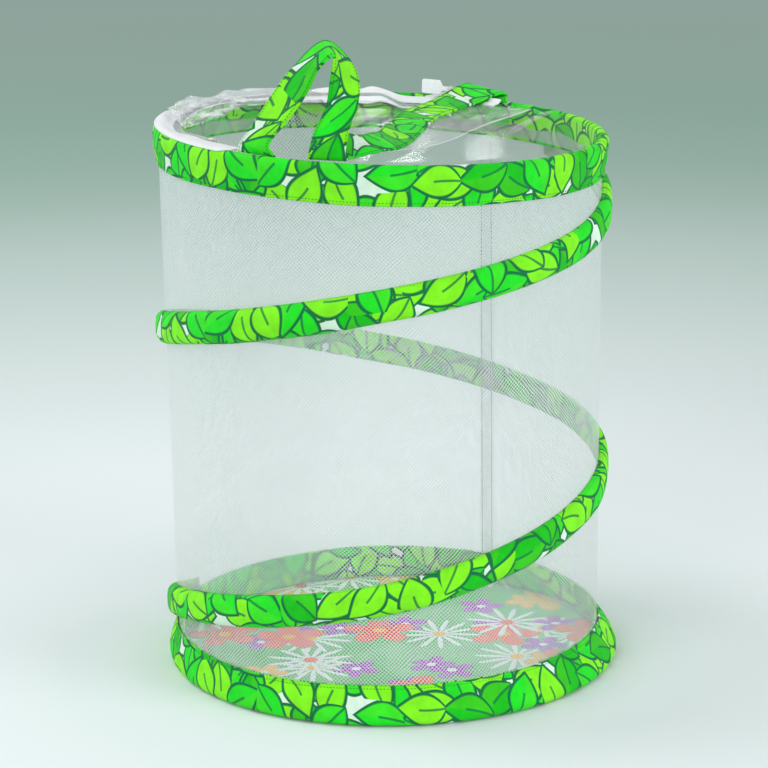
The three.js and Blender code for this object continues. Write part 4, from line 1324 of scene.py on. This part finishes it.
class HABITAT_OT_zip(bpy.types.Operator):
    """Make the zip's tapes and teeth"""

    bl_idname = "habitat.zip"
    bl_label = "Zip"
    # Angle, width and height of the waves in which the back of the tape stands up
    waves = ((92.3, 3.2, 2.2), (104.5, 4.5, 1.6), (121, 6, 0.8), (137, 6, 1.8))
    # Angles at which the tapes lie down again, and the ring's tape is doubled over or draped
    ring_stands = (115, 145)
    flap_stands = (115, 150)
    doubled = (108, 116, 156, 172)
    drape_ends = (226, 231)
    drape = 50  # degrees round the rim's ridge
    over_ridge = 0.1 * MM
    upright_width = 6.4 * MM
    slider_narrows = 2.2 * MM
    film_step = 0.6 * MM
    tooth = Vector((2.3 * MM, 0.68 * MM, 1.1 * MM))
    tooth_overlap = 0.45 * MM
    tooth_taper = 0.25
    tooth_level = 0.35 * MM
    spine_thickness = 1.2 * MM
    tab_angle = 52.4
    tab_inset = 24 * MM
    tab_length = 9 * MM
    tab_width = 7.5 * MM
    tab_thickness = 0.9 * MM

    def execute(self, context):
        self.ring_tape()
        self.flap_tape()
        self.teeth("zip_teeth_ring", "zipper_chain_ring", "top", 1)
        self.teeth("zip_teeth_flap", "zipper_chain_flap", "flap", -1)
        self.end_tab()
        return {"FINISHED"}

    def ring_tape(self):
        """Flat from the teeth and over the rim's ridge on the left; it stands up along the back."""
        length = math.radians(RING_TAPE_LAST - RING_TAPE_FIRST) * TOP_HOOP
        over = FOLD_BEND + TAPE_THICKNESS / 2 + self.over_ridge
        level = self.over_ridge + TAPE_THICKNESS / 2
        flat_part = TOP_HOOP - RING_TAPE_INNER

        def place(along, across):
            angle = RING_TAPE_FIRST + math.degrees(along / TOP_HOOP)
            share = across / RING_TAPE_WIDTH
            half = max(0.0, 0.5 - abs(share - 0.5))
            share += between(angle, *self.doubled) * (half - share)
            share = max(0.0, share)
            back = between(angle, RING_TAPE_FIRST, RING_TAPE_FIRST + 9, *self.ring_stands)
            drape = math.radians(self.drape * (1 - fade(angle, *self.drape_ends)))
            reach = share * (flat_part + over * drape)
            radius, height = RING_TAPE_INNER + reach, level
            if reach > flat_part:
                turn = (reach - flat_part) / over
                radius = TOP_HOOP + over * math.sin(turn)
                height = level - over * (1 - math.cos(turn))
            wave = sum(h * hill(angle, a, w) for a, w, h in self.waves)
            wave += 0.35 * ripple(8 * MM, along, share * 6 * MM, 4.0)
            width = self.upright_width - self.slider_narrows * beside_slider(angle)
            stood = level + (0.3 + wave) * MM * share ** 1.3
            radius += (RING_TAPE_INNER + share * width - radius) * back
            height += (max(level, stood) - height) * back
            calm = fade(flat_part - across, 0, 4 * MM)
            height += 0.2 * MM * ripple(14 * MM, along, across, 0.0) * calm
            return rim_place(radius, angle, height - lid_hang(radius, angle))

        bm = flat_cut(length, RING_TAPE_WIDTH, 300, 14, place)
        piece = finished("zip_tape_ring", bm, "tape", "top", TAPE_THICKNESS * 0.7)
        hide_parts("zipper_tape_ring")

    def flap_tape(self):
        """It stands up along the back as the ring's does, and is narrow under the film's edge."""
        length = math.radians(ZIP_LAST - ZIP_FIRST) * FLAP_TAPE_OUTER
        level = FILM_LEVEL + self.film_step + TAPE_THICKNESS / 2

        def place(along, across):
            angle = ZIP_FIRST + math.degrees(along / FLAP_TAPE_OUTER)
            back = 1 - fade(angle, *self.flap_stands)
            wave = ripple(24 * MM, along, 7.0, 0.0) + 0.4 * ripple(8 * MM, along, 9.0, 0.0)
            radius = FLAP_TAPE_OUTER - across * (0.06 + 0.86 * back)
            height = level + back * across / FLAP_TAPE_WIDTH * (0.5 + wave) * 1.2 * MM
            return rim_place(radius, angle, height - lid_hang(radius, angle))

        bm = flat_cut(length, FLAP_TAPE_WIDTH, 280, 10, place)
        piece = finished("zip_tape_flap", bm, "tape", "flap", TAPE_THICKNESS * 0.7)
        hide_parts("zipper_tape_flap")

    def teeth(self, name, node, body, side):
        """A row of teeth that reach into the gaps of the other row, on a corded edge."""
        pitch = math.degrees(sizes().tooth_pitch / TEETH_MIDDLE)
        rim = Matrix((RIM_RIGHT, RIM_BACK, RIM_UP)).transposed().to_4x4()
        radius = TEETH_MIDDLE + side * (self.tooth.x / 2 - self.tooth_overlap)
        bm = bmesh.new()
        for i in range(int((ZIP_LAST - ZIP_FIRST) / pitch)):
            angle = ZIP_FIRST + pitch * (i + 0.5 - 0.25 * side)
            middle = rim_place(radius, angle, self.teeth_level(angle))
            turn = Matrix.Rotation(math.radians(angle), 4, RIM_UP) @ rim
            spot = Matrix.Translation(middle) @ turn @ Matrix.Diagonal((*self.tooth, 1))
            made = bmesh.ops.create_cube(bm, size=1, matrix=spot)
            for vert in made["verts"]:
                away = (vert.co - middle).dot(RIM_UP)
                if away > 0:
                    vert.co -= away * RIM_UP * self.tooth_taper
        spine_radius = TEETH_MIDDLE + side * (TOOTH_REACH - 0.1 * MM)

        def place(along, out, up):
            angle = ZIP_FIRST + math.degrees(along / spine_radius)
            return rim_place(spine_radius + out, angle, self.teeth_level(angle) + up)

        length = math.radians(ZIP_LAST - ZIP_FIRST) * spine_radius
        spine = tube(length, self.spine_thickness / 2, 150, 8, place)
        mesh = bpy.data.meshes.new("spine")
        spine.to_mesh(mesh)
        spine.free()
        bm.from_mesh(mesh)
        bpy.data.meshes.remove(mesh)
        piece = finished(name, bm, "teeth", body, smooth=False)
        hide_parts(node)

    def teeth_level(self, angle):
        return self.tooth_level - lid_hang(TEETH_MIDDLE, angle)

    def end_tab(self):
        """The cloth tab at the zip's closed end, curled up towards the rim."""
        inner = TOP_REACH - self.tab_inset

        def place(along, across):
            share = along / self.tab_length
            rise = 2.6 * MM * share ** 1.5 + 0.4 * MM * math.sin(share * 7)
            aside = math.degrees((across - self.tab_width / 2) / (inner + along))
            return rim_place(inner + along * 0.86, self.tab_angle + aside, 0.1 * MM + rise)

        bm = flat_cut(self.tab_length, self.tab_width, 16, 12, place)
        piece = finished("zip_end_tab", bm, "tape", "top", self.tab_thickness)
        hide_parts("zipper_end_tab")


class HABITAT_OT_pull_tab(bpy.types.Operator):
    """Make the slider's pull tab"""

    bl_idname = "habitat.pull_tab"
    bl_label = "Pull Tab"
    thickness = 1.2 * MM
    length = 17.6 * MM
    foot = -3.5 * MM
    head = 4.6 * MM
    neck = 1.2 * MM
    neck_end = 4.6 * MM
    blade = 6.6 * MM
    eye = 1.5 * MM
    hole = 0.85 * MM
    corner = 1.2 * MM
    bend = 0.9 * MM
    bend_start = 8 * MM
    edge = 0.28 * MM

    def execute(self, context):
        neck_turn = math.asin(self.neck / self.eye)
        outline = [ring_spot(self.eye, math.degrees(neck_turn + turn))
                   for turn in even(2 * math.pi - 2 * neck_turn, 16)]
        outline += [(self.neck_end, -self.neck), (self.blade, self.foot)]
        for start, y in ((-90, self.foot + self.corner), (0, self.head - self.corner)):
            middle = Vector((self.length - self.corner, y))
            outline += [middle + ring_spot(self.corner, start + turn) for turn in even(90, 6)]
        outline += [(self.blade, self.head), (self.neck_end, self.neck)]
        bm = bmesh.new()
        rim = [bm.verts.new((x, y, 0)) for x, y in outline]
        edges = [bm.edges.new((a, b)) for a, b in zip(rim, rim[1:] + rim[:1])]
        ring = bmesh.ops.create_circle(bm, segments=20, radius=self.hole)["verts"]
        edges += [e for e in bm.edges if all(v in ring for v in e.verts)]
        bmesh.ops.triangle_fill(bm, edges=edges, use_beauty=True)
        made = bmesh.ops.extrude_face_region(bm, geom=bm.faces[:])
        moved = [g for g in made["geom"] if isinstance(g, bmesh.types.BMVert)]
        bmesh.ops.translate(bm, verts=moved, vec=(0, 0, self.thickness))
        bmesh.ops.translate(bm, verts=bm.verts, vec=(0, 0, -self.thickness / 2))
        bmesh.ops.recalc_face_normals(bm, faces=bm.faces)
        along = RIM_UP.cross(PIN_LINE).normalized()
        turn = Matrix((along, RIM_UP, PIN_LINE)).transposed()
        if turn.determinant() < 0:
            turn = Matrix((along, RIM_UP, -PIN_LINE)).transposed()
        bmesh.ops.transform(bm, verts=bm.verts, matrix=Matrix.Translation(PIN) @ turn.to_4x4())
        for vert in bm.verts:
            away = (vert.co - PIN).dot(along)
            vert.co += PIN_LINE * self.bend * fade(away, self.bend_start, self.length)
        piece = finished("pull_tab_blade", bm, "tab", "pull", smooth=False)
        soft = piece.modifiers.new("Edges", "BEVEL")
        soft.width = self.edge
        soft.segments = 2
        soft.limit_method = "ANGLE"
        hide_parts("slider_pull_tab")
        return {"FINISHED"}


class HABITAT_OT_strap(bpy.types.Operator):
    """Make the carry strap and its topstitching"""

    bl_idname = "habitat.strap"
    bl_label = "Carry Strap"
    width = 22 * MM
    seam_inset = 1.1 * MM
    cup = 1 * MM
    look = 2 * MM  # along the strap to each side, for its direction

    def execute(self, context):
        rows = [[rim_spot(x * TOP_REACH, y * TOP_REACH, height * STRAP_LOOP)
                 for x, y, height in (shares[:3], shares[3:])] for shares in STRAP_SHARES]
        first, last = ([rim_place(STRAP_ROOT, a, -STRAP_ROOT_DROP) for a in angles]
                       for angles in (STRAP_FRONT_ANGLES, STRAP_BACK_ANGLES))
        edges = [curve_through(list(line), 16) for line in zip(first, *rows, last)]
        middle = Profile([(a + b) / 2 for a, b in zip(*edges)])

        def at(along):
            i = next(k for k, m in enumerate(middle.marks[1:]) if along <= m + 1e-9)
            t = (along - middle.marks[i]) / (middle.marks[i + 1] - middle.marks[i])
            return [e[i].lerp(e[i + 1], t) for e in edges]

        def place(along, across, lift=0.0):
            one, other = at(min(along, middle.length))
            side = other - one
            ahead = at(min(middle.length, along + self.look))
            behind = at(max(0.0, along - self.look))
            way = (ahead[0] + ahead[1]) - (behind[0] + behind[1])
            normal = side.cross(way).normalized()
            share = across / self.width
            cup = self.cup * (1 - (2 * share - 1) ** 2) * ripple(50 * MM, along, 0.0, 0.0)
            return one + side * share + normal * (cup + lift)

        thickness = sizes().strap_thickness
        bm = flat_cut(middle.length, self.width, len(edges[0]) - 1, 10, place)
        piece = finished("carry_strap_cloth", bm, "strap", None, thickness)
        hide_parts("carry_strap")
        insets = (self.seam_inset, self.width - self.seam_inset)
        lines = seam_lines(place, even(middle.length, 500), insets, on_cloth(thickness), (1, -1))
        bend_at_fold(piece, stitch_piece("carry_strap_stitches", lines, None))
        return {"FINISHED"}


OPERATORS = (
    HABITAT_OT_stage, HABITAT_OT_hoops, HABITAT_OT_floor, HABITAT_OT_bindings, HABITAT_OT_net,
    HABITAT_OT_spiral, HABITAT_OT_lid, HABITAT_OT_zip, HABITAT_OT_pull_tab, HABITAT_OT_strap,
)


class HABITAT_PT_panel(bpy.types.Panel):
    """Sizes, colours and steps of the habitat"""

    bl_idname = "HABITAT_PT_panel"
    bl_label = "Butterfly Habitat"
    bl_space_type = "VIEW_3D"
    bl_region_type = "UI"
    bl_category = "Habitat"

    def draw(self, context):
        for group in (context.scene.habitat_sizes, context.scene.habitat_colours):
            box = self.layout.box()
            for name in group.__annotations__:
                box.prop(group, name)
        for operator in OPERATORS:
            self.layout.operator(operator.bl_idname)


CLASSES = (HabitatSizes, HabitatColours, *OPERATORS, HABITAT_PT_panel)


def register():
    for cls in CLASSES:
        bpy.utils.register_class(cls)
    bpy.types.Scene.habitat_sizes = PointerProperty(type=HabitatSizes)
    bpy.types.Scene.habitat_colours = PointerProperty(type=HabitatColours)


def unregister():
    del bpy.types.Scene.habitat_colours
    del bpy.types.Scene.habitat_sizes
    for cls in reversed(CLASSES):
        bpy.utils.unregister_class(cls)


def main():
    register()
    bpy.context.scene.view_settings.view_transform = "Standard"
    for operator in OPERATORS:
        getattr(bpy.ops.habitat, operator.bl_idname.split(".")[1])()


if __name__ == "__main__":
    main()
